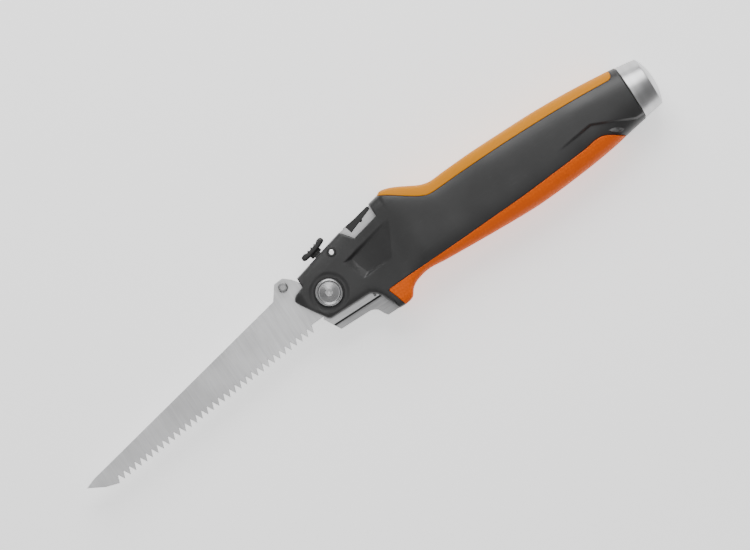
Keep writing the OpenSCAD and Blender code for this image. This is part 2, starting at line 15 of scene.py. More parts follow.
import bmesh
import bpy
import numpy as np
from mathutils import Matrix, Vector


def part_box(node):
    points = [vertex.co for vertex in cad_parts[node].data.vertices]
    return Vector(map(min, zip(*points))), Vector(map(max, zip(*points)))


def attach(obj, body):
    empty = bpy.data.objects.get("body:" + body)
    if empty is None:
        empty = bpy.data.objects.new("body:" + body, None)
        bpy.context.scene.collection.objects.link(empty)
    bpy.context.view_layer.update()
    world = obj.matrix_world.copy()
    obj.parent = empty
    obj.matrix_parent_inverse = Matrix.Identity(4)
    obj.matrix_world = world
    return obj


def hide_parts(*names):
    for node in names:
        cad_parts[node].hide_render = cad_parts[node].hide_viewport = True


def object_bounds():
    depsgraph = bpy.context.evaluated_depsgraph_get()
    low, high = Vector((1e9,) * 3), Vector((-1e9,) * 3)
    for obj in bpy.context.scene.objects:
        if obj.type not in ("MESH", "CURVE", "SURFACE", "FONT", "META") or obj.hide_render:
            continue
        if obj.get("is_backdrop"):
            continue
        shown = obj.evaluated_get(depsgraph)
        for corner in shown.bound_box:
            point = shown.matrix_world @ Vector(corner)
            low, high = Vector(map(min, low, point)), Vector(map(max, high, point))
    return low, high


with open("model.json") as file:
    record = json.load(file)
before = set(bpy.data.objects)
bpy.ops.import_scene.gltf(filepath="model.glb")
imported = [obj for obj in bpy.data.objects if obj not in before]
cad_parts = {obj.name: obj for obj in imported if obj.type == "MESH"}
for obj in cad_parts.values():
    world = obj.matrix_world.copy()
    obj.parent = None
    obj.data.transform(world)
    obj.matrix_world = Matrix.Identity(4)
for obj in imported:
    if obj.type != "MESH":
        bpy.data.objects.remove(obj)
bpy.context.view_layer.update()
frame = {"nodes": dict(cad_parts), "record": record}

LOG = logging.getLogger("drywall_saw")
MM = 0.001
Array = np.ndarray
Outline = tuple[tuple[float, float], ...]


class Side(Enum):
    """The two sides of the handle's middle plane."""

    NEAR = 1.0
    FAR = -1.0

    @property
    def prefix(self) -> str:
        """The word that a side's nodes start with."""
        return self.name.lower()


# ---- surfaces ----


def smooth_line(points: Outline, x: Array) -> Array:
    """Height of a smooth curve through an outline's points.

    Between two points the height is the cubic with the heights and slopes of both, and a
    point's slope is that of the chord between its neighbours.

    Args:
        points: (x, y) pairs with x rising, in millimetres.
        x: places to read, in millimetres.

    Returns:
        The curve's y at each x, held level beyond both ends.
    """
    xs, ys = np.array(points).T
    slope = np.empty_like(ys)
    slope[1:-1] = (ys[2:] - ys[:-2]) / (xs[2:] - xs[:-2])
    slope[0] = (ys[1] - ys[0]) / (xs[1] - xs[0])
    slope[-1] = (ys[-1] - ys[-2]) / (xs[-1] - xs[-2])
    at = np.clip(x, xs[0], xs[-1])
    i = np.clip(np.searchsorted(xs, at, side="right") - 1, 0, len(xs) - 2)
    d = xs[i + 1] - xs[i]
    u = (at - xs[i]) / d
    a, b = slope[i] * d, slope[i + 1] * d
    rise = ys[i + 1] - ys[i]
    return ys[i] + u * a + u**2 * (3 * rise - 2 * a - b) + u**3 * (a + b - 2 * rise)


def straight_line(points: Outline, x: Array) -> Array:
    """Height at x of the straight stretches between an outline's points."""
    xs, ys = np.array(points).T
    return np.interp(x, xs, ys)


def distance_to_line(x: Array, y: Array, line: Array) -> Array:
    """Shortest distance from each point to a polyline.

    The foot of a point on a stretch is its projection, held between the stretch's two ends.

    Args:
        x: the points' first coordinates.
        y: the points' second coordinates, of the same shape.
        line: the polyline's corners, as rows of x and y.

    Returns:
        The distances, in the shape of x.
    """
    flat = np.stack([x.ravel(), y.ravel()], axis=1)
    best = np.full(len(flat), np.inf)
    block = 60
    for start in range(0, len(line) - 1, block):
        a = line[start : start + block + 1][:-1]
        b = line[start : start + block + 1][1:]
        along = b - a
        away = flat[:, None, :] - a[None]
        share = np.einsum("ijk,jk->ij", away, along) / np.maximum((along**2).sum(1), 1e-9)
        foot = away - np.clip(share, 0, 1)[..., None] * along[None]
        best = np.minimum(best, np.sqrt((foot**2).sum(2)).min(1))
    return best.reshape(x.shape)


def fillet(distance: Array, radius: float) -> Array:
    """How far a rounded edge has dropped: a quarter circle of the radius, measured inwards."""
    inside = np.clip(radius - distance, 0, radius)
    return radius - np.sqrt(np.maximum(radius**2 - inside**2, 0))


def ease(t: Array) -> Array:
    """A smooth step from 0 to 1, three t squared less two t cubed."""
    t = np.clip(t, 0, 1)
    return t * t * (3 - 2 * t)


def crowded(count: int) -> Array:
    """Shares from 0 to 1 that crowd at both ends: half of one less a cosine."""
    return (1 - np.cos(np.linspace(0, math.pi, count))) / 2


def spread(breaks: list[tuple[float, float]]) -> Array:
    """Stations between breaks, each stretch at its own spacing.

    Args:
        breaks: (place, spacing of the stretch that follows it), with places rising.

    Returns:
        The stations, in rising order, with every break among them.
    """
    parts = []
    for (a, step), (b, _) in zip(breaks[:-1], breaks[1:]):
        count = max(1, round((b - a) / step))
        parts.append(np.linspace(a, b, count, endpoint=False))
    parts.append(np.array([breaks[-1][0]]))
    return np.concatenate(parts)


@dataclass
class Skin:
    """A mesh in the making: rings of points joined by quads, with an end at each side."""

    rings: Array
    rim: Array | None = None
    closed_ends: bool = True

    def faces(self, first: int) -> tuple[Array, list[Array]]:
        """Corners of the quads and of the two ends.

        Args:
            first: number of the skin's first vertex in the mesh.

        Returns:
            An array of quads, and a list with one array of corners for each end.
        """
        n, m = self.rings.shape[:2]
        i, j = np.meshgrid(np.arange(n - 1), np.arange(m), indexing="ij")
        k = (j + 1) % m
        quads = np.stack([i * m + j, i * m + k, (i + 1) * m + k, (i + 1) * m + j], axis=-1)
        ends = [first + np.arange(m)[::-1], first + (n - 1) * m + np.arange(m)]
        return first + quads.reshape(-1, 4), ends if self.closed_ends else []


def piece_from(name: str, skins: list[Skin], sharp: float = 40.0) -> bpy.types.Object:
    """Puts skins into one mesh object at the origin.

    Args:
        name: the piece's name.
        skins: closed skins, in millimetres.
        sharp: angle in degrees past which an edge is drawn crisp.

    Returns:
        The object, with closed seams and outward normals.
    """
    points = np.concatenate([s.rings.reshape(-1, 3) for s in skins]) * MM
    quads, ends, first = [], [], 0
    for skin in skins:
        q, e = skin.faces(first)
        quads.append(q)
        ends.extend(e)
        first += skin.rings.shape[0] * skin.rings.shape[1]
    quads = np.concatenate(quads)
    corners = np.concatenate([quads.ravel(), *ends])
    counts = np.concatenate([np.full(len(quads), 4), [len(e) for e in ends]]).astype(np.int32)
    starts = np.concatenate([[0], np.cumsum(counts)[:-1]]).astype(np.int32)
    mesh = bpy.data.meshes.new(name)
    mesh.vertices.add(len(points))
    mesh.vertices.foreach_set("co", points.astype(np.float32).ravel())
    mesh.loops.add(len(corners))
    mesh.loops.foreach_set("vertex_index", corners.astype(np.int32))
    mesh.polygons.add(len(counts))
    mesh.polygons.foreach_set("loop_start", starts)
    mesh.update(calc_edges=True)
    rim = [np.zeros(s.rings.shape[:2]) if s.rim is None else s.rim for s in skins]
    layer = mesh.attributes.new("rim", "FLOAT", "POINT")
    layer.data.foreach_set("value", np.concatenate([r.ravel() for r in rim]).astype(np.float32))
    close_up(mesh, sharp)
    obj = bpy.data.objects.new(name, mesh)
    bpy.context.scene.collection.objects.link(obj)
    return obj


def close_up(mesh: bpy.types.Mesh, sharp: float) -> None:
    """Merges doubled points, turns faces outwards and marks crisp edges.

    Args:
        mesh: the mesh to finish.
        sharp: angle in degrees past which an edge is drawn crisp.
    """
    work = bmesh.new()
    work.from_mesh(mesh)
    bmesh.ops.remove_doubles(work, verts=work.verts, dist=2e-6)
    bmesh.ops.recalc_face_normals(work, faces=work.faces)
    if work.calc_volume(signed=True) < 0:
        bmesh.ops.reverse_faces(work, faces=work.faces)
    work.to_mesh(mesh)
    work.free()
    mesh.shade_smooth()
    mesh.set_sharp_from_angle(angle=math.radians(sharp))


def turned(profile: Outline, centre: tuple[float, float, float], axis: str, around: int = 96,
           flats: tuple[int, int] = (0, 0)) -> Skin:
    """A lathe surface: the profile's radius and height carried round the axis.

    Between the two profile points named by flats, the radius follows a hexagon: it is the
    across-flats half width over the cosine of the angle to the nearest flat.

    Args:
        profile: (radius, height) pairs from pole to pole, in millimetres.
        centre: where the axis has height 0, in millimetres.
        axis: "z" or "x".
        around: points round the axis.
        flats: first and last profile point, the last not included, that are hexagonal.

    Returns:
        The skin.
    """
    r, h = np.array(profile).T
    turn = np.linspace(0, 2 * math.pi, around, endpoint=False)
    radius = np.repeat(r[:, None], around, axis=1)
    hexagon = 1 / np.cos((turn + math.pi / 6) % (math.pi / 3) - math.pi / 6)
    radius[flats[0] : flats[1]] *= hexagon
    u, v = radius * np.cos(turn), radius * np.sin(turn)
    height = np.repeat(h[:, None], around, axis=1)
    points = (u, v, height) if axis == "z" else (height, u, v)
    rings = np.stack(points, axis=-1) + np.array(centre)
    return Skin(rings, closed_ends=False)


def rounded(points: Outline, radius: float, steps: int = 4) -> Outline:
    """An open profile with its inner corners rounded.

    Each corner becomes a quadratic curve that starts and ends the radius away from it, or less
    where a stretch is short.

    Args:
        points: the profile's corners.
        radius: how far from the corner the curve starts.
        steps: stretches in each curve.

    Returns:
        The profile with its curves.
    """
    p = np.array(points, dtype=float)
    out = [p[:1]]
    t = np.linspace(0, 1, steps + 1)[:, None]
    for before, corner, after in zip(p[:-2], p[1:-1], p[2:]):
        to, off = before - corner, after - corner
        a = corner + to * min(0.45, radius / np.linalg.norm(to))
        b = corner + off * min(0.45, radius / np.linalg.norm(off))
        out.append((1 - t) ** 2 * a + 2 * t * (1 - t) * corner + t**2 * b)
    out.append(p[-1:])
    return tuple(map(tuple, np.concatenate(out)))


def broken_edges(node: str, width: float, sharp: float = 30.0) -> bpy.types.Object:
    """A copy of a CAD node with its edges broken.

    Args:
        node: the CAD node.
        width: the width of the bevel, in millimetres.
        sharp: angle in degrees past which an edge is bevelled.

    Returns:
        The copy, with a Bevel modifier.
    """
    mesh = frame["nodes"][node].data.copy()
    mesh.materials.clear()
    work = bmesh.new()
    work.from_mesh(mesh)
    bmesh.ops.remove_doubles(work, verts=work.verts, dist=1e-6)
    bmesh.ops.dissolve_limit(work, angle_limit=math.radians(0.5), verts=work.verts,
                             edges=work.edges)
    work.to_mesh(mesh)
    work.free()
    mesh.shade_smooth()
    mesh.set_sharp_from_angle(angle=math.radians(sharp))
    obj = bpy.data.objects.new(f"{node}_finished", mesh)
    bpy.context.scene.collection.objects.link(obj)
    bevel = obj.modifiers.new("Broken edges", "BEVEL")
    bevel.width = width * MM
    bevel.segments = 2
    bevel.limit_method = "ANGLE"
    bevel.angle_limit = math.radians(sharp)
    bevel.harden_normals = True
    return obj


def carve(piece: bpy.types.Object, cutters: list[Skin], sharp: float = 40.0) -> None:
    """Takes cutters out of a piece for good.

    Args:
        piece: the piece to cut.
        cutters: closed skins that don't meet each other.
        sharp: angle in degrees past which an edge is drawn crisp.
    """
    tool = piece_from(f"{piece.name}_cutter", cutters)
    cut = piece.modifiers.new("Cut", "BOOLEAN")
    cut.operation = "DIFFERENCE"
    cut.solver = "EXACT"
    cut.object = tool
    graph = bpy.context.evaluated_depsgraph_get()
    mesh = bpy.data.meshes.new_from_object(piece.evaluated_get(graph))
    piece.modifiers.clear()
    piece.data = mesh
    mesh.shade_smooth()
    mesh.set_sharp_from_angle(angle=math.radians(sharp))
    bpy.data.objects.remove(tool)


def seat(piece: bpy.types.Object, node: str, material: bpy.types.Material) -> None:
    """Gives a new piece its finish and its body, and hides the CAD node that it stands for.

    Args:
        piece: the new piece.
        node: the CAD node that it replaces.
        material: its finish.
    """
    piece.data.materials.clear()
    piece.data.materials.append(material)
    record = frame["record"]
    bodies = record["behaviour"]["bodies"]
    body = next(name for name, nodes in bodies.items() if node in nodes)
    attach(piece, body)
    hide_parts(node)
    LOG.info("%s stands for %s on %s", piece.name, node, body)


# ---- effects that finishes share ----


class Wiring:
    """Adds and joins shader nodes in one tree."""

    def __init__(self, tree: bpy.types.NodeTree) -> None:
        """Works in the given tree."""
        self.tree = tree

    def add(self, kind: str, **inputs: object) -> bpy.types.Node:
        """Adds a node and fills its sockets.

        Args:
            kind: the node's type, without its ShaderNode prefix.
            inputs: socket names with underscores for spaces, or in0, in1 for numbered ones.
                A socket is linked, and anything else is its value.

        Returns:
            The node.
        """
        node = self.tree.nodes.new(f"ShaderNode{kind}")
        for name, value in inputs.items():
            numbered = name.startswith("in") and name[2:].isdigit()
            self.feed(node.inputs[int(name[2:]) if numbered else name.replace("_", " ")], value)
        return node

    def feed(self, target: bpy.types.NodeSocket, value: object) -> None:
        """Links a socket to the target, or sets the target's value."""
        if isinstance(value, bpy.types.NodeSocket):
            self.tree.links.new(value, target)
        else:
            target.default_value = value

    def math(self, operation: str, a: object, b: object = 0.0) -> bpy.types.NodeSocket:
        """The result of a Math node."""
        node = self.add("Math", in0=a, in1=b)
        node.operation = operation
        return node.outputs[0]

    def vector(self, operation: str, a: object, b: object) -> bpy.types.NodeSocket:
        """The vector result of a Vector Math node."""
        node = self.add("VectorMath", in0=a, in1=b)
        node.operation = operation
        return node.outputs[0]

    def remap(self, value: object, low: float, high: float, to_low: float = 0.0,
              to_high: float = 1.0) -> bpy.types.NodeSocket:
        """Value mapped from one range to another, held at its ends."""
        node = self.add("MapRange", Value=value, From_Min=low, From_Max=high, To_Min=to_low,
                        To_Max=to_high)
        return node.outputs[0]

    def mix(self, factor: object, a: object, b: object) -> bpy.types.NodeSocket:
        """Two colours mixed by a factor."""
        node = self.tree.nodes.new("ShaderNodeMix")
        node.data_type = "RGBA"
        self.feed(node.inputs[0], factor)
        self.feed(node.inputs[6], a)
        self.feed(node.inputs[7], b)
        return node.outputs[2]


@dataclass(frozen=True)
class Effect:
    """A shader node group with named inputs and outputs, built once."""

    name: str
    inputs: tuple[tuple[str, str, object], ...]
    outputs: tuple[str, ...]

    def begin(self) -> tuple[Wiring, bpy.types.Node, bpy.types.Node]:
        """Makes the group's tree and its two ends.

        Returns:
            The wiring, the group's input node and its output node.
        """
        tree = bpy.data.node_groups.new(self.name, "ShaderNodeTree")
        for name, kind, value in self.inputs:
            socket = tree.interface.new_socket(name=name, in_out="INPUT", socket_type=kind)
            socket.default_value = value
        for name in self.outputs:
            tree.interface.new_socket(name=name, in_out="OUTPUT", socket_type="NodeSocketFloat")
        return Wiring(tree), tree.nodes.new("NodeGroupInput"), tree.nodes.new("NodeGroupOutput")

    def place(self, wiring: Wiring, **values: object) -> bpy.types.Node:
        """Places the group in a material.

        Args:
            wiring: the material's wiring.
            values: values of the group's inputs, with underscores for spaces.

        Returns:
            The group's node.
        """
        node = wiring.tree.nodes.new("ShaderNodeGroup")
        node.node_tree = bpy.data.node_groups[self.name]
        for name, value in values.items():
            wiring.feed(node.inputs[name.replace("_", " ")], value)
        return node


FLOAT = "NodeSocketFloat"
VECTOR = "NodeSocketVector"
GRAIN = Effect("Fine grain", (("Scale", FLOAT, 2500.0), ("Patches", FLOAT, 60.0)),
               ("Height", "Tone"))
BRUSHED = Effect("Brushed lines", (("Stretch", VECTOR, (1.0, 1.0, 1.0)), ("Scale", FLOAT, 900.0)),
                 ("Height", "Streak"))
TURNED = Effect("Turned rings", (("Centre", VECTOR, (0.0, 0.0, 0.0)),
                                 ("Across", VECTOR, (1.0, 1.0, 0.0)), ("Scale", FLOAT, 2500.0)),
                ("Height", "Streak"))
WEAR_AND_GLINT = Effect("Edge wear", (("Amount", FLOAT, 0.5), ("Scale", FLOAT, 350.0)), ("Mask",))
HANDLED = Effect("Handling marks", (("Scale", FLOAT, 35.0), ("Scratches", FLOAT, 220.0)),
                 ("Smudge", "Scratch"))
DIMPLES = Effect("Grip dimples", (("Pitch", FLOAT, 520.0),), ("Height",))


def place_of(wiring: Wiring) -> bpy.types.NodeSocket:
    """The piece's own coordinates, in metres."""
    return wiring.tree.nodes.new("ShaderNodeTexCoord").outputs["Object"]


def build_grain() -> None:
    """Moulded grain: two noises, one at the scale and one three times finer, and slow patches."""
    w, source, sink = GRAIN.begin()
    at = place_of(w)
    coarse = w.add("TexNoise", Vector=at, Scale=source.outputs["Scale"], Detail=2.0)
    fine = w.add("TexNoise", Vector=at, Detail=1.0,
                 Scale=w.math("MULTIPLY", source.outputs["Scale"], 3.0))
    patch = w.add("TexNoise", Vector=at, Scale=source.outputs["Patches"], Detail=3.0)
    w.feed(sink.inputs["Height"], w.math("ADD", coarse.outputs[0],
                                         w.math("MULTIPLY", fine.outputs[0], 0.5)))
    w.feed(sink.inputs["Tone"], w.remap(patch.outputs[0], 0.3, 0.7))


def build_brushed() -> None:
    """Brushed lines: noise on coordinates squeezed along the stroke, in two widths."""
    w, source, sink = BRUSHED.begin()
    at = w.vector("MULTIPLY", place_of(w), source.outputs["Stretch"])
    wide = w.add("TexNoise", Vector=at, Scale=source.outputs["Scale"], Detail=3.0)
    thin = w.add("TexNoise", Vector=at, Detail=2.0,
                 Scale=w.math("MULTIPLY", source.outputs["Scale"], 4.0))
    both = w.math("MULTIPLY", w.math("ADD", wide.outputs[0], thin.outputs[0]), 0.5)
    w.feed(sink.inputs["Height"], thin.outputs[0])
    w.feed(sink.inputs["Streak"], w.remap(both, 0.35, 0.65))


def build_turned() -> None:
    """Turned rings: noise on the distance from the lathe's axis."""
    w, source, sink = TURNED.begin()
    off = w.vector("SUBTRACT", place_of(w), source.outputs["Centre"])
    across = w.vector("MULTIPLY", off, source.outputs["Across"])
    length = w.add("VectorMath", in0=across)
    length.operation = "LENGTH"
    rings = w.add("TexNoise", Scale=source.outputs["Scale"], Detail=2.0,
                  Vector=w.add("CombineXYZ", X=length.outputs["Value"]).outputs[0])
    w.feed(sink.inputs["Height"], rings.outputs[0])
    w.feed(sink.inputs["Streak"], w.remap(rings.outputs[0], 0.35, 0.65))


def build_wear() -> None:
    """Wear at the edges and a painted glint: the piece's rim attribute, broken up by noise. Where
    the attribute is above 1, on the shell's lens-shaped facet, the mask paints a highlight.
    """
    w, source, sink = WEAR_AND_GLINT.begin()
    rim = w.tree.nodes.new("ShaderNodeAttribute")
    rim.attribute_name = "rim"
    chips = w.add("TexNoise", Vector=place_of(w), Scale=source.outputs["Scale"], Detail=5.0)
    # Painted highlight: where the rim attribute is above 1, on the shell's lens-shaped facet, this
    # mask paints a highlight as well as wear.
    wear_and_glint = w.math("MULTIPLY", rim.outputs["Fac"], w.remap(chips.outputs[0], 0.42, 0.62))
    w.feed(sink.inputs["Mask"], w.math("MULTIPLY", wear_and_glint, source.outputs["Amount"]))


def build_handled() -> None:
    """Handling marks: slow smudges, and thin scratches where a stretched noise crosses a level."""
    w, source, sink = HANDLED.begin()
    at = place_of(w)
    smudge = w.add("TexNoise", Vector=at, Scale=source.outputs["Scale"], Detail=4.0)
    lines = w.vector("MULTIPLY", at, (0.12, 1.0, 1.0))
    scratch = w.add("TexNoise", Vector=lines, Scale=source.outputs["Scratches"], Detail=4.0)
    level = w.math("ABSOLUTE", w.math("SUBTRACT", scratch.outputs[0], 0.5))
    w.feed(sink.inputs["Smudge"], w.remap(smudge.outputs[0], 0.35, 0.68))
    w.feed(sink.inputs["Scratch"], w.remap(level, 0.0, 0.006, 1.0, 0.0))


def build_dimples() -> None:
    """Grip dimples: cells of a regular Voronoi pattern, raised in their middles."""
    w, source, sink = DIMPLES.begin()
    cells = w.add("TexVoronoi", Vector=place_of(w), Scale=source.outputs["Pitch"], Randomness=0.35)
    raised = w.remap(cells.outputs["Distance"], 0.15, 0.55, 1.0, 0.0)
    w.feed(sink.inputs["Height"], raised)


def build_effects() -> None:
    """Builds every shared effect once."""
    build_grain()
    build_brushed()
    build_turned()
    build_wear()
    build_handled()
    build_dimples()


# ---- finishes ----

Colour = tuple[float, float, float, float]


class Finish:
    """A procedural material, made once and shared by every piece that carries it."""

    name: str

    def build(self) -> bpy.types.Material:
        """Makes the material, or finds it if another piece has asked for it.

        Returns:
            The one material of this name.
        """
        material = bpy.data.materials.get(self.name)
        if material is None:
            material = bpy.data.materials.new(self.name)
            material.use_nodes = True
            self.wire(Wiring(material.node_tree), material.node_tree.nodes["Principled BSDF"])
        return material

    def wire(self, w: Wiring, shader: bpy.types.Node) -> None:
        """Fills the material's tree.

        Args:
            w: the wiring of the tree.
            shader: the tree's Principled BSDF.
        """
        raise NotImplementedError


@dataclass(frozen=True)
class Moulded(Finish):
    """Moulded plastic: fine grain, slow tone patches, smudges, and edges lighter from wear; on the
    shell the same lighter colour also paints a highlight on the facet near the butt.
    """

    name: str
    colour: Colour
    patch_colour: Colour
    worn_colour: Colour
    roughness: float = 0.45
    grain_scale: float = 2600.0
    grain_depth: float = 0.00002
    wear: float = 0.35
    scratches: float = 0.25

    def wire(self, w: Wiring, shader: bpy.types.Node) -> None:
        """Fills the material's tree."""
        grain = GRAIN.place(w, Scale=self.grain_scale)
        marks = HANDLED.place(w)
        wear_and_glint = WEAR_AND_GLINT.place(w, Amount=self.wear)
        tone = w.mix(grain.outputs["Tone"], self.colour, self.patch_colour)
        # The lighter colour marks edge wear and scratches. On the shell it also paints the facet
        # near the butt as a highlight.
        mask = w.math("MAXIMUM", wear_and_glint.outputs["Mask"],
                      w.math("MULTIPLY", marks.outputs["Scratch"], self.scratches * 0.3))
        w.feed(shader.inputs["Base Color"], w.mix(mask, tone, self.worn_colour))
        rough = w.remap(marks.outputs["Smudge"], 0.0, 1.0, self.roughness - 0.06,
                        self.roughness + 0.06)
        w.feed(shader.inputs["Roughness"], rough)
        bump = w.add("Bump", Strength=0.6, Distance=self.grain_depth,
                     Height=grain.outputs["Height"])
        w.feed(shader.inputs["Normal"], bump.outputs[0])


@dataclass(frozen=True)
class SoftGrip(Finish):
    """Soft overmoulding: dimples or fine grain, a weak gloss, rubbed smudges, and painted shade
    that darkens the dimples' hollows towards the deep colour.
    """

    name: str
    colour: Colour
    deep_colour: Colour
    roughness: float = 0.5
    dimple_pitch: float = 520.0
    dimple_depth: float = 0.00012
    grain_scale: float = 3000.0

    def wire(self, w: Wiring, shader: bpy.types.Node) -> None:
        """Fills the material's tree."""
        dimples = DIMPLES.place(w, Pitch=self.dimple_pitch)
        grain = GRAIN.place(w, Scale=self.grain_scale, Patches=45.0)
        marks = HANDLED.place(w)
        # Painted shade: the dimples' hollows are mixed towards the deep colour, by an amount that
        # grows with the dimple depth.
        shade = w.math("MULTIPLY", w.math("SUBTRACT", 1.0, dimples.outputs["Height"]),
                       min(1.0, self.dimple_depth * 4000))
        tone = w.mix(w.math("MULTIPLY", grain.outputs["Tone"], 0.35), self.colour,
                     self.deep_colour)
        w.feed(shader.inputs["Base Color"], w.mix(shade, tone, self.deep_colour))
        rough = w.remap(marks.outputs["Smudge"], 0.0, 1.0, self.roughness - 0.05,
                        self.roughness + 0.08)
        w.feed(shader.inputs["Roughness"], rough)
        fine = w.add("Bump", Strength=0.5, Distance=0.000015, Height=grain.outputs["Height"])
        bump = w.add("Bump", Strength=0.8, Distance=self.dimple_depth,
                     Height=dimples.outputs["Height"], Normal=fine.outputs[0])
        w.feed(shader.inputs["Normal"], bump.outputs[0])
        shader.inputs["Specular IOR Level"].default_value = 0.15


@dataclass(frozen=True)
class BrushedMetal(Finish):
    """Brushed steel: lines along one way, smudges and fine bright scratches."""

    name: str
    colour: Colour
    streak_colour: Colour
    stretch: tuple[float, float, float] = (0.03, 1.0, 1.0)
    scale: float = 900.0
    roughness: float = 0.34
    line_depth: float = 0.000012
    scratch_colour: Colour = (0.85, 0.85, 0.86, 1.0)
    scratches: float = 0.12

    def wire(self, w: Wiring, shader: bpy.types.Node) -> None:
        """Fills the material's tree."""
        lines = BRUSHED.place(w, Stretch=self.stretch, Scale=self.scale)
        marks = HANDLED.place(w, Scale=28.0)
        tone = w.mix(lines.outputs["Streak"], self.colour, self.streak_colour)
        scratch = w.math("MULTIPLY", marks.outputs["Scratch"], self.scratches)
        w.feed(shader.inputs["Base Color"], w.mix(scratch, tone, self.scratch_colour))
        rough = w.remap(marks.outputs["Smudge"], 0.0, 1.0, self.roughness - 0.05,
                        self.roughness + 0.07)
        w.feed(shader.inputs["Roughness"], w.math("ADD", rough, w.math(
            "MULTIPLY", lines.outputs["Streak"], 0.04)))
        bump = w.add("Bump", Strength=0.5, Distance=self.line_depth,
                     Height=lines.outputs["Height"])
        w.feed(shader.inputs["Normal"], bump.outputs[0])
        shader.inputs["Metallic"].default_value = 1.0


@dataclass(frozen=True)
class TurnedMetal(Finish):
    """Metal off a lathe: fine rings about its axis, and smudges."""

    name: str
    colour: Colour
    streak_colour: Colour
    centre: tuple[float, float, float]
    across: tuple[float, float, float] = (1.0, 1.0, 0.0)
    scale: float = 2500.0
    roughness: float = 0.26
    ring_depth: float = 0.00002

    def wire(self, w: Wiring, shader: bpy.types.Node) -> None:
        """Fills the material's tree."""
        rings = TURNED.place(w, Centre=self.centre, Across=self.across, Scale=self.scale)
        marks = HANDLED.place(w, Scale=60.0)
        w.feed(shader.inputs["Base Color"], w.mix(rings.outputs["Streak"], self.colour,
                                                  self.streak_colour))
        rough = w.remap(marks.outputs["Smudge"], 0.0, 1.0, self.roughness - 0.05,
                        self.roughness + 0.07)
        w.feed(shader.inputs["Roughness"], rough)
        bump = w.add("Bump", Strength=0.5, Distance=self.ring_depth,
                     Height=rings.outputs["Height"])
        w.feed(shader.inputs["Normal"], bump.outputs[0])
        shader.inputs["Metallic"].default_value = 1.0


@dataclass(frozen=True)
class PaleFloor(Finish):
    """A matt, near-white studio floor with a faint glow, so that it stays even."""

    name: str
    glow: float

    def wire(self, w: Wiring, shader: bpy.types.Node) -> None:
        """Fills the material's tree."""
        tone = w.add("TexNoise", Vector=place_of(w), Scale=3.0, Detail=2.0)
        w.feed(shader.inputs["Base Color"], w.mix(w.remap(tone.outputs[0], 0.3, 0.7),
                                                  (0.93, 0.93, 0.93, 1), (0.95, 0.95, 0.95, 1)))
        shader.inputs["Roughness"].default_value = 0.9
        shader.inputs["Emission Color"].default_value = (1, 1, 1, 1)
        shader.inputs["Emission Strength"].default_value = self.glow


# ---- the handle's form ----


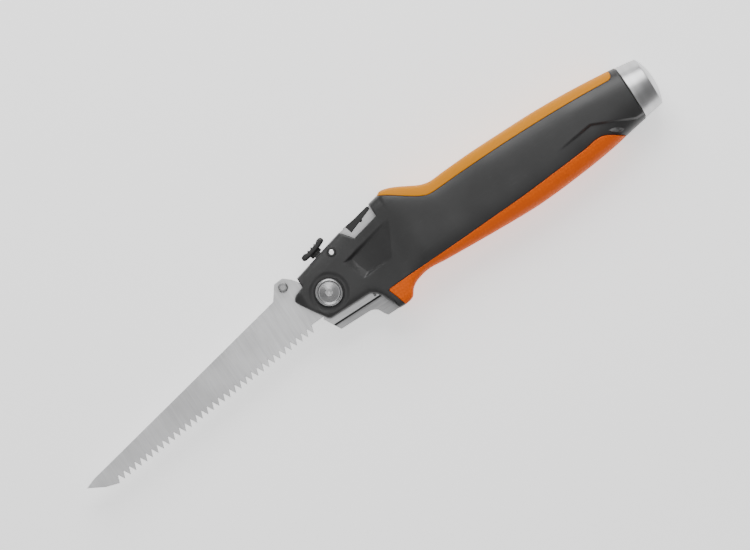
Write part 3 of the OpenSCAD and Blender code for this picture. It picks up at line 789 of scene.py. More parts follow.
@dataclass(frozen=True)
class HandleForm:
    """Outline and thickness of the handle, in millimetres from the pivot's axis.

    Heights are measured from the middle plane. At a station the thickness follows a
    superellipse: full in the middle of the station's height and down to the plate at its ends,
    squarer at the nose and rounder at the butt.
    """

    middle: float
    plate: float
    lowest: float
    butt: float = 186.6
    brow: float = -10.2
    window: tuple[float, float] = (21.0, 41.7)
    strip_run: tuple[float, float] = (47.7, 183.0)
    grip_run: tuple[float, float] = (26.4, 172.6)
    wall: float = 0.08
    least_width: float = 0.2
    strip_round: float = 3.0
    hook_top: float = -17.0
    hook_foot: tuple[float, float] = (30.0, -26.8)
    top_nose: Outline = ((-17.4, 5.6), (-17.1, 6.3), (-16.5, 7.1), (-15.3, 8), (-10.2, 9.9))
    top_head: Outline = ((-10.2, 15.1), (20.5, 23.1), (47.7, 28.6))
    top_back: Outline = (
        (47.7, 28.6), (50, 29.7), (55, 28.6), (60, 26.3), (65, 23.5), (70, 21), (75, 19.9),
        (82, 20.3), (100, 21), (120, 21.1), (140, 20.9), (160, 19.8), (180, 17.9), (187, 17))
    low_nose: Outline = (
        (-17.4, 5), (-17.1, 4.3), (-16.2, 2.4), (-8, -11), (-6.6, -12), (17.5, -12),
        (20.5, -14.2), (22.3, -17), (26.3, -26.7))
    low_back: Outline = (
        (26.4, -26.7), (30, -26.8), (35, -25.6), (38, -22), (42, -19.6), (50, -18), (60, -18.8),
        (80, -20), (100, -21), (115, -21.4), (130, -20.8), (150, -19.2), (165, -17.4),
        (175, -15.6), (187, -13.6))
    strip_edge: Outline = (
        (47.7, 28.4), (50, 27.2), (55, 23.9), (60, 20.3), (65, 16.9), (70, 14.6), (75, 14.3),
        (90, 14.9), (120, 15.4), (150, 14.9), (170, 13.9), (180, 13.2), (183, 13.2))
    grip_edge: Outline = (
        (26.4, -16.2), (28, -15.5), (50, -14.8), (70, -14.3), (90, -13.6), (110, -12.9),
        (130, -11.6), (150, -10.2), (162, -9.3), (172.6, -15.6))
    window_floor: Outline = ((21.0, 23.2), (26.2, 16.4), (41.7, 20.0))
    half_line: Outline = (
        (-17.4, 8.8), (-12, 10.2), (22, 10.2), (40, 12), (56, 13.8), (76, 13.2), (110, 14.5),
        (150, 14.5), (187, 14.5))
    square_line: Outline = ((-17.4, 8), (20, 8), (50, 4), (80, 3), (150, 2.6), (187, 2.2))

    def top(self, x: Array) -> Array:
        """The handle's upper outline."""
        front = np.where(x < self.brow, straight_line(self.top_nose, x),
                         straight_line(self.top_head, x))
        return np.where(x < self.strip_run[0], front, smooth_line(self.top_back, x))

    def bottom(self, x: Array) -> Array:
        """The handle's lower outline."""
        line = np.where(x < self.grip_run[0], straight_line(self.low_nose, x),
                        smooth_line(self.low_back, x))
        return np.maximum(line, self.lowest)

    def strip(self, x: Array) -> Array:
        """The strip's lower edge, which turns up in a quarter circle at its rear end."""
        r = self.strip_round
        past = np.clip(x - (self.strip_run[1] - r), 0, r)
        turned_up = r - np.sqrt(r * r - past * past)
        line = smooth_line(self.strip_edge, x) + turned_up
        return np.minimum(line, self.top(x) - self.least_width)

    def grip(self, x: Array) -> Array:
        """The grip's upper edge."""
        return np.maximum(smooth_line(self.grip_edge, x), self.bottom(x) + self.least_width)

    def shell_top(self, x: Array) -> Array:
        """The shell's upper edge, with the window and the strip left out."""

        def edge(x: Array) -> Array:
            """The edge with its jumps."""
            inside = (x > self.window[0]) & (x < self.window[1] - self.wall / 2)
            under = (x >= self.strip_run[0]) & (x <= self.strip_run[1])
            line = np.where(inside, straight_line(self.window_floor, x), self.top(x))
            return np.where(under, self.strip(x), line)

        return self.with_walls(edge, x, (self.brow, self.window[1]))

    def shell_bottom(self, x: Array) -> Array:
        """The shell's lower edge, with the grip left out."""

        def edge(x: Array) -> Array:
            """The edge with its jumps."""
            over = (x >= self.grip_run[0]) & (x <= self.grip_run[1])
            return np.where(over, self.grip(x), self.bottom(x))

        return self.with_walls(edge, x, (self.grip_run[0],))

    def with_walls(self, edge: Callable[[Array], Array], x: Array,
                   ends: tuple[float, ...]) -> Array:
        """An edge whose jumps are replaced by steep straight walls.

        Args:
            edge: the edge with its jumps.
            x: stations to read.
            ends: where each wall ends; it starts one wall run in front of that.

        Returns:
            The edge's y at each station.
        """
        y = edge(x)
        for end in ends:
            run = np.array([end - self.wall, end])
            y = np.where((x > run[0]) & (x < run[1]), np.interp(x, run, edge(run)), y)
        return y

    def half(self, x: Array, y: Array) -> Array:
        """Half of the handle's thickness at a point of its side view."""
        top, bottom = self.top(x), self.bottom(x)
        q = np.clip(np.abs(2 * y - top - bottom) / (top - bottom), 0, 1)
        p = straight_line(self.square_line, x)
        bulge = np.maximum(0, 1 - q**p) ** (1 / p)
        return self.plate + (smooth_line(self.half_line, x) - self.plate) * bulge

    def hook_slant(self) -> tuple[Array, Array]:
        """The two ends of the grip's slanted front edge, top first."""
        return np.array([self.grip_run[0], self.hook_top]), np.array(self.hook_foot)


@dataclass(frozen=True)
class Relief:
    """What is pressed into the side of a shell, in millimetres."""

    pocket: Outline = ((46.9, 16.2), (14.5, 8.8), (18.9, -3.8), (36.7, -3.4), (46.9, 16.2))
    pocket_ramps: tuple[float, float, float] = (1.7, 4.0, 1.5)
    pocket_depth: float = 1.9
    pocket_fade: float = 20.0
    slide_slope: float = 15.5
    crease: float = 9.5
    crease_fall: float = 0.13
    crease_fade: tuple[float, float] = (20.0, 30.0)
    dish_radius: float = 11.0
    dish_ramp: float = 2.2
    dish_depth: float = 0.4
    scoop: Outline = ((137.0, -3.0), (160.0, -0.2), (171.5, -5.3), (182.0, -10.2))
    scoop_depth: float = 1.3
    scoop_ramp: float = 1.5
    scoop_fade: float = 22.0
    glint: Outline = ((166.3, -8.4), (173.9, -12.4))
    glint_width: float = 1.2
    glint_rise: float = 0.45
    # Rim level of the lens-shaped facet, high enough that the shell's wear mask paints the facet
    # lighter: a painted highlight.
    glint_tone: float = 3.0

    def depth(self, x: Array, y: Array) -> Array:
        """How far the surface is pressed in at a point of the side view."""
        return (self.in_pocket(x, y) + self.at_crease(x, y) + self.in_dish(x, y)
                + self.at_rear(x, y))

    def in_pocket(self, x: Array, y: Array) -> Array:
        """A ramped pocket behind the pivot.

        Its depth is the least of three ramps, times a long fade from its open rear side.
        """
        ramps = []
        widths = (*self.pocket_ramps, self.pocket_fade)
        for a, b, width in zip(self.pocket[:-1], self.pocket[1:], widths):
            run = np.subtract(b, a)
            inside = (run[0] * (y - a[1]) - run[1] * (x - a[0])) / np.hypot(*run)
            ramps.append(np.clip(inside / width, 0, 1))
        share = np.minimum.reduce(ramps[:-1])
        return self.pocket_depth * (0.7 * share + 0.3 * ease(share)) * ramps[-1]

    def at_crease(self, x: Array, y: Array) -> Array:
        """The fall of the face above a line that runs along the lock's slide."""
        turn = math.radians(self.slide_slope)
        above = y * math.cos(turn) - x * math.sin(turn) - self.crease
        start, run = self.crease_fade
        return np.clip(above, 0, None) * self.crease_fall * (1 - ease((x - start) / run))

    def in_dish(self, x: Array, y: Array) -> Array:
        """A shallow dish round the pivot."""
        return self.dish_depth * ease((self.dish_radius - np.hypot(x, y)) / self.dish_ramp)

    def at_rear(self, x: Array, y: Array) -> Array:
        """A scoop below a kinked line near the butt, with a small tilted facet in it."""
        below = straight_line(self.scoop, x) - y
        run = ease((x - self.scoop[0][0]) / self.scoop_fade)
        scoop = self.scoop_depth * ease(below / self.scoop_ramp) * run
        share, reach = self.in_glint(x, y)
        return scoop - self.glint_rise * (1 - share) * reach

    def in_glint(self, x: Array, y: Array) -> tuple[Array, Array]:
        """Where a point lies in the lens-shaped facet.

        Args:
            x: the points' stations.
            y: the points' heights.

        Returns:
            The share of the way across the lens, from -1 to 1, and the lens's half width
            there, which is 0 outside it.
        """
        a, b = np.array(self.glint)
        length = np.hypot(*(b - a))
        way = (b - a) / length
        u = ((x - a[0]) * way[0] + (y - a[1]) * way[1]) / length * 2 - 1
        w = (y - a[1]) * way[0] - (x - a[0]) * way[1]
        reach = self.glint_width * np.clip(1 - u * u, 0, None)
        reach = np.where(np.abs(w) < reach, reach, 0)
        return np.clip(w / np.maximum(reach, 1e-6), -1, 1), reach


@dataclass(frozen=True)
class HalfPatch:
    """A stretch of one side of the handle, from the plate's face out to the rounded surface.

    A point of the grid lies at a station and at a share of the way from the lower edge to the
    upper one. Its height is the form's half thickness, less the relief, less the drop of the
    rounded edges that are near it.
    """

    x: Array
    y: Array
    free_edges: tuple[Array, ...]
    joint_edges: tuple[Array, ...]
    free_round: float = 0.8
    joint_round: float = 0.45
    rim_fade: float = 0.5

    def skin(self, form: HandleForm, side: Side, relief: Relief | None = None) -> Skin:
        """The patch's closed skin.

        Args:
            form: the handle's form.
            side: which side the patch is on.
            relief: what is pressed into it.

        Returns:
            The skin, whose rim attribute is 1 at the free edges and fades away from them, and is
            set high on the lens-shaped facet to paint a highlight there.
        """
        free = self.nearest(self.free_edges)
        joint = self.nearest(self.joint_edges)
        height = form.half(self.x, self.y)
        if relief is not None:
            height = height - relief.depth(self.x, self.y)
        height -= np.maximum(fillet(free, self.free_round), fillet(joint, self.joint_round))
        height = np.maximum(height, form.plate + 0.05)
        outer = np.stack([self.x, self.y, form.middle + side.value * height], axis=-1)
        foot = outer[:, [0, -1]].copy()
        foot[..., 2] = form.middle + side.value * form.plate
        rings = np.concatenate([foot[:, :1], outer, foot[:, 1:]], axis=1)
        rim = np.exp(-free / self.rim_fade)
        if relief is not None:
            # Painted highlight: the lens-shaped facet gets a high rim level, so the wear mask
            # paints it in the lighter colour.
            rim = np.where(relief.in_glint(self.x, self.y)[1] > 0, relief.glint_tone, rim)
        rim = np.concatenate([rim[:, :1], rim, rim[:, -1:]], axis=1)
        return Skin(rings, rim)

    def nearest(self, edges: tuple[Array, ...]) -> Array:
        """Distance of every point to the nearest of the edges."""
        far = np.full(self.x.shape, 1e3)
        return np.minimum.reduce([far, *[distance_to_line(self.x, self.y, e) for e in edges]])


# ---- sub-assemblies ----


@dataclass
class Handle:
    """The two shells, the strip along the spine and the two soft grips."""

    form: HandleForm
    shell_finish: Moulded
    strip_finish: SoftGrip
    grip_finish: SoftGrip
    seat_height: float = 9.6
    ring_radius: float = 8.1
    barrel_radii: tuple[float, float] = (2.6, 4.1)
    guide: tuple[float, float] = (12.2, 16.7)
    guide_radius: float = 2.5
    screws: Outline = ((52.0, 14.0), (95.0, 8.0), (135.0, 4.5), (172.0, 1.7))
    insert: tuple[float, float] = (2.52, 9.8)
    screw_seat: float = 7.6
    screw_radii: tuple[float, float] = (1.6, 3.2)
    stub: tuple[float, float, float] = (182.4, 5.04, 1.7)
    collar: tuple[float, float] = (184.4, 11.04)
    hairline: float = 0.004
    rows: int = 130

    def build(self) -> None:
        """Builds both sides and the strip."""
        shell = self.shell_finish.build()
        grip = self.grip_finish.build()
        for side in Side:
            body = piece_from(f"{side.prefix}_shell_skin", self.shell_skins(side), 50)
            carve(body, self.cutters(side), 50)
            seat(body, f"{side.prefix}_shell", shell)
            soft = piece_from(f"{side.prefix}_grip_skin", [self.grip_skin(side)], 50)
            seat(soft, f"{side.prefix}_grip", grip)
        seat(piece_from("spine_strip_skin", [self.strip_skin()], 50), "spine_strip",
             self.strip_finish.build())

    def stations(self) -> Array:
        """Stations of the shell, closest where its edges turn."""
        form = self.form
        nose, kink = form.top_nose[0][0], form.brow
        steep = form.wall / 24
        return spread([
            (nose, 0.15), (nose + 2.4, 0.35), (kink - 1.4, 0.12), (kink - form.wall, steep),
            (kink, 0.12), (kink + 3.6, 0.35), (form.low_nose[5][0], 0.25),
            (form.window[0], 0.2), (form.window[0] + 1, 0.3),
            (form.grip_run[0] - form.wall, steep), (form.grip_run[0], 0.3), (40.2, 0.15),
            (form.window[1] - form.wall, steep), (form.window[1], 0.15), (43.2, 0.35),
            (form.strip_run[0], 0.35), (78, 1.0), (158, 0.4),
            (form.grip_run[1], 0.2), (form.grip_run[1] + form.wall, 0.35),
            (form.strip_run[1] - form.strip_round, 0.15), (form.strip_run[1], 0.2),
            (form.strip_run[1] + form.wall, 0.3), (form.butt - 0.6, 0.15), (form.butt, 1)])

    def shell_skins(self, side: Side) -> list[Skin]:
        """The shell's main skin, and the sliver in front of the grip's slanted end."""
        form = self.form
        x = self.stations()
        low, high = form.shell_bottom(x), form.shell_top(x)
        share = 0.35 * crowded(self.rows) + 0.65 * np.linspace(0, 1, self.rows)
        grid_x = np.repeat(x[:, None], len(share), axis=1)
        grid_y = low[:, None] + (high - low)[:, None] * share
        lower, upper = np.stack([x, low], axis=1), np.stack([x, high], axis=1)
        grip = (x >= form.grip_run[0]) & (x <= form.grip_run[1])
        strip = (x >= form.strip_run[0]) & (x <= form.strip_run[1])
        free = (lower[x < form.grip_run[0] - form.wall / 2], lower[x > form.grip_run[1]],
                upper[x < form.strip_run[0]], upper[x > form.strip_run[1]],
                np.stack([lower[0], upper[0]]))
        joints = (lower[grip], upper[strip], np.stack([lower[-1], upper[-1]]))
        main = HalfPatch(grid_x, grid_y, free, joints)
        return [main.skin(form, side, Relief()), self.sliver(side)]

    def sliver(self, side: Side) -> Skin:
        """The part of the shell between the hook and the grip's slanted front edge."""
        form = self.form
        v = np.linspace(0, 1, 28)[None]
        top, foot = form.hook_slant()
        front = form.grip_run[0] - form.wall * (1 - v) + self.hairline
        edge = foot[0] + (top[0] - foot[0]) * v + 2 * self.hairline
        u = crowded(14)[:, None]
        x = front + (edge - front) * u
        y = form.bottom(x) + (form.grip(x) - form.bottom(x)) * v
        slant = np.stack([x[-1], y[-1]], axis=1)
        lower = np.stack([x[:, 0], y[:, 0]], axis=1)
        return HalfPatch(x, y, (lower,), (slant,)).skin(form, side)

    def grip_skin(self, side: Side) -> Skin:
        """The grip: its stations lean forward at the front, so that its end is slanted."""
        form = self.form
        v = crowded(44)[None]
        s = spread([(form.grip_run[0], 0.15), (30, 0.3), (60, 0.8), (155, 0.4),
                    (form.grip_run[1] - 1, 0.15), (form.grip_run[1], 1)])[:, None]
        top, foot = form.hook_slant()
        lean = (foot[0] - top[0]) * (1 - ease((s - form.grip_run[0]) / 20))
        x = s + lean * (1 - v)
        y = form.bottom(x) + (form.grip(x) - form.bottom(x)) * v
        lower = np.stack([x[:, 0], y[:, 0]], axis=1)
        upper = np.stack([x[:, -1], y[:, -1]], axis=1)
        front = np.stack([x[0], y[0]], axis=1)
        return HalfPatch(x, y, (lower,), (upper, front), 0.6, 0.5).skin(form, side)

    def strip_skin(self) -> Skin:
        """The strip: both sides in one ring, from its near edge over the spine to its far edge."""
        form = self.form
        x = spread([(form.strip_run[0], 0.2), (52, 0.35), (78, 0.9), (172, 0.4),
                    (form.strip_run[1] - form.strip_round, 0.12), (form.strip_run[1], 1)])
        low, high = form.strip(x), form.top(x)
        share = crowded(30)
        grid_x = np.repeat(x[:, None], len(share), axis=1)
        grid_y = low[:, None] + (high - low)[:, None] * share
        edge = np.stack([x, low], axis=1)
        end = np.stack([edge[-1], [x[-1], high[-1]]])
        from_edge = distance_to_line(grid_x, grid_y, edge)
        from_end = distance_to_line(grid_x, grid_y, end)
        drop = np.maximum(fillet(from_edge, 0.5), fillet(from_end, 0.8))
        height = np.maximum(form.half(grid_x, grid_y) - drop, form.plate - 0.6)
        near = np.stack([grid_x, grid_y, form.middle + height], axis=-1)
        far = np.stack([grid_x, grid_y, form.middle - height], axis=-1)
        return Skin(np.concatenate([near, far[:, ::-1]], axis=1))

    def cutters(self, side: Side) -> list[Skin]:
        """What is bored out of a shell: seats of the pivot, the pin, the screws and the cap."""
        form = self.form
        barrel = self.barrel_radii[side is Side.FAR]
        start, top = form.plate - 1, 20.0
        profiles = [((0.0, 0.0), ((0, start), (barrel, start), (barrel, self.seat_height),
                                  (self.ring_radius, self.seat_height),
                                  (self.ring_radius, top), (0, top))),
                    (self.guide, ((0, start), (self.guide_radius, start),
                                  (self.guide_radius, top), (0, top)))]
        for spot in self.screws:
            profiles.append((spot, self.screw_bore(side, start, top)))
        out = []
        for (x, y), profile in profiles:
            heights = tuple((r, side.value * h) for r, h in profile)
            out.append(turned(heights, (x, y, form.middle), "z", 64))
        begin, radius, y = self.stub
        step, wide = self.collar
        bore = ((0, begin), (radius, begin), (radius, step), (wide, step), (wide, form.butt + 1),
                (0, form.butt + 1))
        out.append(turned(bore, (0, y, form.middle), "x", 64))
        return out

    def screw_bore(self, side: Side, start: float, top: float) -> Outline:
        """Profile of a screw's bore: a blind seat for the insert, or a stepped one for the head."""
        if side is Side.NEAR:
            radius, end = self.insert
            return ((0, start), (radius, start), (radius, end), (0, end))
        shank, head = self.screw_radii
        return ((0, start), (shank, start), (shank, self.screw_seat), (head, self.screw_seat),
                (head, top), (0, top))


@dataclass
class PivotSet:
    """The bolt, the nut, the dark rings round both, which also stand in for the shadow in the gaps
    round them (painted shadow), and the stud on the blade.
    """

    form: HandleForm
    bolt_finish: TurnedMetal
    nut_finish: TurnedMetal
    stud_finish: TurnedMetal
    ring_finish: Moulded
    seat_height: float = 9.6
    head_radius: float = 7.1
    head_height: float = 3.1
    shank: tuple[float, float] = (2.5, -10.7)
    face_radius: float = 5.4
    face_drop: float = 1.2
    socket: float = 2.0
    ring_radii: tuple[float, float] = (7.14, 8.06)
    ring_top: float = 10.5
    stud_at: tuple[float, float] = (-18.9, 15.2)

    def build(self) -> None:
        """Builds the pivot's visible pieces."""
        middle = self.form.middle
        profile, place = self.bolt_profile()
        last = len(profile)
        bolt = turned(profile, place, "z", flats=(last - 4, last - 2))
        seat(piece_from("pivot_bolt_turned", [bolt], 30), "pivot_bolt", self.bolt_finish.build())
        seat(broken_edges("pivot_nut", 0.2), "pivot_nut", self.nut_finish.build())
        # Painted shadow: black rings fill the gaps round the bolt head and the nut, where those
        # gaps would be in shadow.
        inner, outer = self.ring_radii
        profile = rounded(((inner, self.seat_height), (inner, self.ring_top),
                           (outer, self.ring_top), (outer, self.seat_height)), 0.25)
        rings = [ring_about(tuple((r, side.value * h) for r, h in profile), (0, 0, middle))
                 for side in Side]
        seat(piece_from("pivot_ring_moulded", rings), "pivot_ring", self.ring_finish.build())
        stud = rounded(((0, -0.65), (1.2, -0.65), (1.2, 0.65), (1.8, 0.65), (1.8, 3.6),
                        (2.7, 3.6), (2.7, 5.2), (2.3, 5.75), (1.2, 5.88), (0, 5.9)), 0.12)
        x, y = self.stud_at
        seat(piece_from("thumb_stud_turned", [turned(stud, (x, y, middle), "z")], 30),
             "thumb_stud", self.stud_finish.build())

    def bolt_profile(self) -> tuple[Outline, tuple[float, float, float]]:
        """The bolt's profile with its conical face and socket, and the place of its axis."""
        low, high = self.seat_height, self.seat_height + self.head_height
        shank, foot = self.shank
        outer = rounded(((0, foot), (shank, foot), (shank, low), (self.head_radius, low),
                         (self.head_radius, high - 0.7), (self.head_radius - 0.6, high - 0.15),
                         (6.1, high - 0.1), (5.6, high - self.face_drop + 0.05),
                         (self.face_radius, high - self.face_drop)), 0.18)
        r = np.linspace(self.face_radius - 0.1, self.socket, 12)
        cone = tuple(zip(r, high - 0.02 - self.face_drop * r / self.face_radius))
        return outer + cone + self.socket_profile(high), (0, 0, self.form.middle)

    def socket_profile(self, high: float) -> Outline:
        """The socket at the middle of the bolt's face."""
        r = self.socket
        return ((r - 0.12, high - 0.6), (r - 0.16, high - 2.2), (0.9, high - 2.3),
                (0, high - 2.5))


def ring_about(profile: Outline, centre: tuple[float, float, float], around: int = 96) -> Skin:
    """A closed profile carried all the way round a vertical axis."""
    r, h = np.array(profile).T
    turn = np.linspace(0, 2 * math.pi, around + 1)[:, None]
    flat = np.ones_like(turn)
    rings = np.stack([r * np.cos(turn), r * np.sin(turn), h * flat], axis=-1)
    return Skin(rings + np.array(centre), closed_ends=False)


@dataclass
class SawBlade:
    """The blade, with its teeth set to alternate sides."""

    finish: BrushedMetal
    set_depth: float = 0.2
    pitch: float = 3.63
    slope: float = 4.69
    heel: tuple[float, float] = (-18.2, -13.4)
    teeth: int = 35
    tip_height: float = 0.4
    tip_share: float = 0.1
    bevel: float = 0.12

    def build(self) -> None:
        """Copies the blade, breaks its edges and sets its teeth."""
        blade = broken_edges("saw_blade", self.bevel)
        count = len(blade.data.vertices)
        co = np.empty(count * 3, np.float32)
        blade.data.vertices.foreach_get("co", co)
        co = co.reshape(-1, 3)
        turn = math.radians(self.slope)
        x, y = co[:, 0] / MM - self.heel[0], co[:, 1] / MM - self.heel[1]
        along = -x * math.cos(turn) - y * math.sin(turn)
        above = -x * math.sin(turn) + y * math.cos(turn)
        number = np.round(along / self.pitch)
        at_tip = above < self.tip_height
        at_tip &= np.abs(along / self.pitch - number) < self.tip_share
        at_tip &= (number >= 0) & (number < self.teeth)
        co[:, 2] += np.where(at_tip, np.where(number % 2, 1, -1) * self.set_depth * MM, 0)
        blade.data.vertices.foreach_set("co", co.ravel())
        blade.data.update()
        seat(blade, "saw_blade", self.finish.build())


@dataclass
class FramePlates:
    """The two steel plates, and the dark trim in their seam, a black strip that also stands in for
    the seam's shadow (painted shadow).
    """

    near_finish: BrushedMetal
    far_finish: BrushedMetal
    trim_finish: Moulded
    plate_bevel: float = 0.3
    trim_bevel: float = 0.1

    def build(self) -> None:
        """Copies the plates and the trim with broken edges."""
        # Painted shadow: slot_trim is a black strip in the seam that stands in for the seam's
        # shadow line.
        for node, bevel, finish in (
                ("near_frame_plate", self.plate_bevel, self.near_finish),
                ("far_frame_plate", self.plate_bevel, self.far_finish),
                ("slot_trim", self.trim_bevel, self.trim_finish)):
            seat(broken_edges(node, bevel), node, finish.build())


@dataclass
class EndCap:
    """The turned metal cap on the butt."""

    form: HandleForm
    finish: TurnedMetal
    axis_y: float = 1.7
    radius: float = 15.2
    length: float = 11.4
    taper: float = 8.5
    dome: float = 3.2
    stub: tuple[float, float] = (5.02, 7.14)

    def build(self) -> None:
        """Turns the cap: a bored foot, a cone, a crisp rim and a shallow dome."""
        tip = self.radius - self.length * math.tan(math.radians(self.taper))
        bore, deep = self.stub
        rise = self.dome - 0.6
        bend = ((tip - 1) ** 2 + rise**2) / (2 * rise)
        r = np.linspace(tip - 0.8, 0, 26)
        crown = tuple(zip(r, self.length + 0.6 + np.sqrt(bend**2 - r**2) - bend + rise))
        foot = ((0, deep), (bore, deep), (bore, 0), (self.radius - 0.8, 0), (self.radius, 0.5))
        profile = rounded(foot + ((tip, self.length), crown[0]), 0.35) + crown[1:]
        cap = turned(profile, (self.form.butt, self.axis_y, self.form.middle), "x", 160)
        seat(piece_from("end_cap_turned", [cap], 28), "end_cap", self.finish.build())


@dataclass
class LockSet:
    """The lock's thumb pad, and the guide pin in its black ring, which also stands in for the shade
    of the pin's recess (painted shade).
    """

    form: HandleForm
    pad_finish: Moulded
    pin_finish: TurnedMetal
    ring_finish: Moulded
    slope: float = 15.5
    pad_run: tuple[float, float] = (3.2, 18.4)
    pad_levels: tuple[float, float] = (19.2, 22.8)
    pad_width: float = 13.0
    stem_run: tuple[float, float] = (7.2, 13.8)
    stem_levels: tuple[float, float] = (17.6, 21.0)
    stem_half: float = 2.6
    guide: tuple[float, float] = (12.2, 16.7)
    pin_radius: float = 1.5
    ring_radii: tuple[float, float] = (1.52, 2.48)
    pin_top: float = 10.0

    def build(self) -> None:
        """Builds the pad, the pin and the pin's ring."""
        seat(piece_from("thumb_pad_moulded", [self.pad(), self.stem()], 40), "lock_slider",
             self.pad_finish.build())
        x, y = self.guide
        at = (x, y, self.form.middle)
        plate, top = self.form.plate, self.pin_top
        pin = rounded(((0, -plate), (self.pin_radius, -plate), (self.pin_radius, top - 0.15),
                       (self.pin_radius - 0.3, top), (0, top)), 0.15)
        seat(piece_from("guide_pin_turned", [turned(pin, at, "z", 64)], 40), "guide_pin",
             self.pin_finish.build())
        # Painted shade: the black ring round the pin stands in for the shade of its recess.
        inner, outer = self.ring_radii
        ring = rounded(((inner, plate), (inner, top - 0.25), (outer, top - 0.25),
                        (outer, plate)), 0.3)
        seat(piece_from("guide_ring_moulded", [ring_about(ring, at, 64)]), "guide_pin_ring",
             self.ring_finish.build())

    def on_slide(self, s: Array, n: Array, z: Array) -> Array:
        """Points from their places along, across and beside the lock's slide."""
        turn = math.radians(self.slope)
        x = s * math.cos(turn) - n * math.sin(turn)
        y = s * math.sin(turn) + n * math.cos(turn)
        return np.stack(np.broadcast_arrays(x, y, self.form.middle + z), axis=-1)

    def pad(self) -> Skin:
        """The pad: a thin bar between two round lobes, with three ridges across its hollow.

        The upper side is the lobes' level, less a hollow that follows a raised cosine, plus the
        ridges. The section shrinks in a quarter circle at both ends of its width.
        """
        first, last = self.pad_run
        low, high = self.pad_levels
        turn = np.linspace(0, 2 * math.pi, 144, endpoint=False)
        u = np.cos(turn)
        middle, half = (first + last) / 2, (last - first) / 2
        s = middle + half * u
        across = (s - middle) / half
        hollow = 0.8 * ease((0.66 - np.abs(across)) / 0.3)
        ridge = sum(np.exp(-(((s - middle - k * 2.3) / 0.4) ** 2)) for k in (-1, 0, 1))
        ends = np.clip(1 - np.abs(across) ** 14, 0, 1) ** 0.5
        centre = (low + high) / 2
        top = centre + (high - centre) * ends + (0.8 * ridge - hollow) * ends
        under = centre - (centre - low) * ends + 0.7 * across**2 * ends
        n = np.where(turn < math.pi, top, under)
        reach = self.pad_width / 2
        z = reach * np.sin(np.linspace(-math.pi / 2, math.pi / 2, 41))
        edge = fillet(reach - np.abs(z), 1.1)[:, None]
        inward = np.clip((n - centre) / 1.5, -1, 1)
        ring_s = middle + (s - middle) * (1 - edge / half)
        ring_n = n[None] - inward[None] * np.minimum(edge, np.abs(n - centre)[None])
        return Skin(self.on_slide(ring_s, ring_n, z[:, None]))

    def stem(self) -> Skin:
        """The stem under the pad: a squared ellipse carried along the slide's normal."""
        first, last = self.stem_run
        turn = np.linspace(0, 2 * math.pi, 64, endpoint=False)
        c, d = np.cos(turn), np.sin(turn)
        size = (np.abs(c) ** 7 + np.abs(d) ** 7) ** (-1 / 7)
        n = np.linspace(*self.stem_levels, 8)[:, None]
        s = (first + last) / 2 + (last - first) / 2 * size * c
        return Skin(self.on_slide(s[None], n, (self.stem_half * size * d)[None]))


@dataclass
class CarriedNodes:
    """CAD nodes that keep their shape and get a finish."""

    finishes: dict[str, Finish]

    def build(self) -> None:
        """Gives each node its finish."""
        for node, finish in self.finishes.items():
            mesh = frame["nodes"][node].data
            mesh.materials.clear()
            mesh.materials.append(finish.build())


@dataclass(frozen=True)
class Studio:
    """A pale floor, a soft key light over the spine, a weak fill, and the camera."""

    centre: tuple[float, float] = (24.7, -5.4)
    turn: float = -33.0
    field: float = 388.5
    lens: float = 280.0
    middle: float = 12.7
    floor_glow: float = 1.0
    floor_gap: float = 0.05
    floor_reach: float = 3000.0
    world_glow: float = 0.25

    def build(self) -> None:
        """Sets the scene."""
        self.floor()
        self.world()
        x, y = self.centre
        self.area("Key", (x + 280, y + 640, 620), 700, 8.0)
        self.area("Fill", (x - 200, y - 600, 500), 700, 0.5)
        self.area("Overhead", (x, y, 3600), 1800, 16.0)
        self.camera()

    def floor(self) -> None:
        """A pale floor under the lowest point of the object."""
        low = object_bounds()[0].z / MM - self.floor_gap
        mesh = bpy.data.meshes.new("floor")
        reach = self.floor_reach
        corners = [(-reach, -reach), (reach, -reach), (reach, reach), (-reach, reach)]
        mesh.from_pydata([(x * MM, y * MM, low * MM) for x, y in corners], [], [(0, 1, 2, 3)])
        floor = bpy.data.objects.new("floor", mesh)
        bpy.context.scene.collection.objects.link(floor)
        mesh.materials.append(PaleFloor("Pale floor", self.floor_glow).build())
        floor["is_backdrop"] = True

    def world(self) -> None:
        """An even white surrounding."""
        world = bpy.data.worlds.new("Studio")
        world.use_nodes = True
        background = world.node_tree.nodes["Background"]
        background.inputs["Color"].default_value = (1, 1, 1, 1)
        background.inputs["Strength"].default_value = self.world_glow
        bpy.context.scene.world = world

    def area(self, name: str, place: tuple[float, float, float], size: float,
             power: float) -> None:
        """Adds a square soft light that faces the object.

        Args:
            name: the light's name.
            place: where it stands, in millimetres.
            size: length of its side, in millimetres.
            power: its power, in watts.
        """
        light = bpy.data.lights.new(name, "AREA")
        light.shape = "SQUARE"
        light.size = size * MM
        light.energy = power
        obj = bpy.data.objects.new(name, light)
        at = np.array(place) * MM
        target = np.array([*self.centre, self.middle]) * MM
        way = target - at
        obj.location = at
        obj.rotation_euler = (math.acos(-way[2] / np.linalg.norm(way)), 0,
                              math.atan2(way[0], -way[1]) + math.pi)
        bpy.context.scene.collection.objects.link(obj)
        obj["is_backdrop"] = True

    def camera(self) -> None:
        """Looks straight down on the near side, turned so that the blade points down left."""
        data = bpy.data.cameras.new("Camera")
        data.lens = self.lens
        data.sensor_width = 36.0
        distance = self.field * self.lens / data.sensor_width
        camera = bpy.data.objects.new("Camera", data)
        x, y = self.centre
        camera.location = (x * MM, y * MM, (self.middle + distance) * MM)
        camera.rotation_euler = (0, 0, math.radians(self.turn))
        data.clip_start, data.clip_end = 0.1, 20.0
        bpy.context.scene.collection.objects.link(camera)
        bpy.context.scene.camera = camera


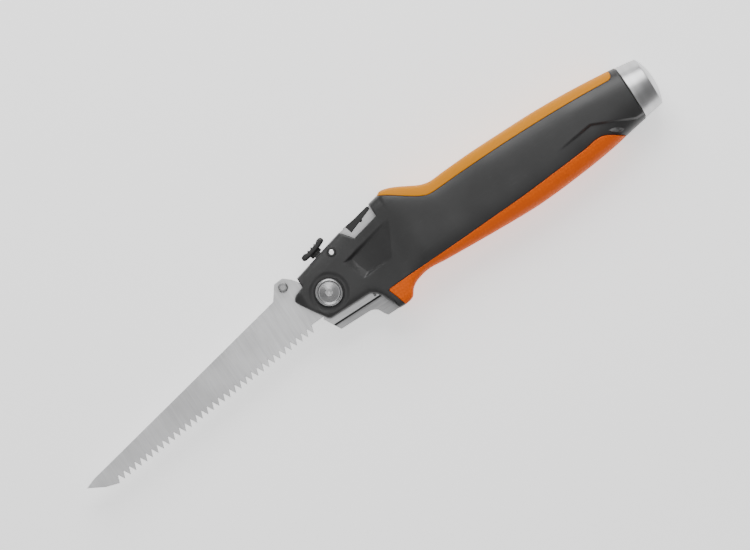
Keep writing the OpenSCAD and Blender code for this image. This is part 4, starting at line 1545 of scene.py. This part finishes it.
def handle_form() -> HandleForm:
    """The handle's form, with its middle, plates and lowest point read from the CAD model."""
    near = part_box("near_frame_plate")[1].z / MM
    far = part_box("far_frame_plate")[0].z / MM
    clear = 0.01
    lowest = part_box("near_grip")[0].y / MM + clear
    return HandleForm(middle=(near + far) / 2, plate=(near - far) / 2, lowest=lowest)


def grey(level: float) -> Colour:
    """A neutral colour."""
    return (level, level, level * 1.01, 1.0)


def main() -> None:
    """Builds the saw and its studio."""
    logging.basicConfig(level=logging.INFO, format="%(message)s")
    build_effects()
    form = handle_form()
    axis = (0.0, 0.0, 0.0)
    # Black rubber for the rings round the bolt and the guide pin and for the seam trim; all three
    # also stand in for shadow (painted shadow).
    shade_rubber = Moulded("Black rubber", grey(0.012), grey(0.018), grey(0.06), 0.55, wear=0.1)
    black = Moulded("Black plastic", grey(0.016), grey(0.024), grey(0.1), 0.4, wear=0.3)
    dark_steel = BrushedMetal("Dark steel", grey(0.2), grey(0.26), roughness=0.42)
    bright = TurnedMetal("Bright steel", grey(0.72), grey(0.6), axis, roughness=0.22)
    Handle(
        form,
        # grey(0.11) is the shell's colour for edge wear and for the painted highlight on the facet
        # near the butt.
        Moulded("Charcoal shell", grey(0.027), grey(0.034), grey(0.11), 0.42),
        SoftGrip("Amber strip", (0.68, 0.25, 0.0, 1), (0.62, 0.21, 0.0, 1), 0.5,
                 dimple_depth=0.0),
        # The grip's deep colour also paints the shade in its dimples' hollows.
        SoftGrip("Orange grip", (0.95, 0.145, 0.002, 1), (0.85, 0.115, 0.002, 1), 0.5),
    ).build()
    PivotSet(form,
             TurnedMetal("Turned bolt", grey(0.5), grey(0.46), axis, roughness=0.32,
                         ring_depth=0.000002),
             bright,
             TurnedMetal("Stud steel", grey(0.34), grey(0.28), (-0.0189, 0.0152, 0.0)),
             shade_rubber).build()
    SawBlade(BrushedMetal("Blade steel", grey(0.6), grey(0.54), (1.0, 0.04, 1.0), 700.0,
                          0.33)).build()
    FramePlates(
        BrushedMetal("Near frame steel", grey(0.6), grey(0.5), roughness=0.36),
        BrushedMetal("Far frame steel", grey(0.5), grey(0.42), roughness=0.38),
        shade_rubber).build()
    EndCap(form, TurnedMetal("Cap aluminium", grey(0.6), grey(0.54), (0.0, 0.0017, 0.0127),
                             (0.0, 1.0, 1.0), 1600.0, 0.33)).build()
    LockSet(form, black, TurnedMetal("Pin steel", grey(0.9), grey(0.84), axis, roughness=0.2),
            shade_rubber).build()
    nylon = Moulded("Washer nylon", (0.7, 0.68, 0.62, 1), (0.62, 0.6, 0.54, 1), grey(0.8), 0.4)
    brass = TurnedMetal("Bearing brass", (0.75, 0.5, 0.2, 1), (0.65, 0.42, 0.16, 1), axis)
    CarriedNodes({
        "pivot_bushing": brass, "screw_inserts": brass, "near_washer": nylon,
        "far_washer": nylon, "spine_spacer": black, "butt_block": dark_steel,
        "cap_collar": dark_steel, "cap_pin": bright, "lock_bar": dark_steel,
        "lock_rivet": bright, "lock_spring": bright, "stop_pin": bright,
        "body_screws": dark_steel,
    }).build()
    Studio().build()
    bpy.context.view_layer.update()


if __name__ == "__main__":
    main()
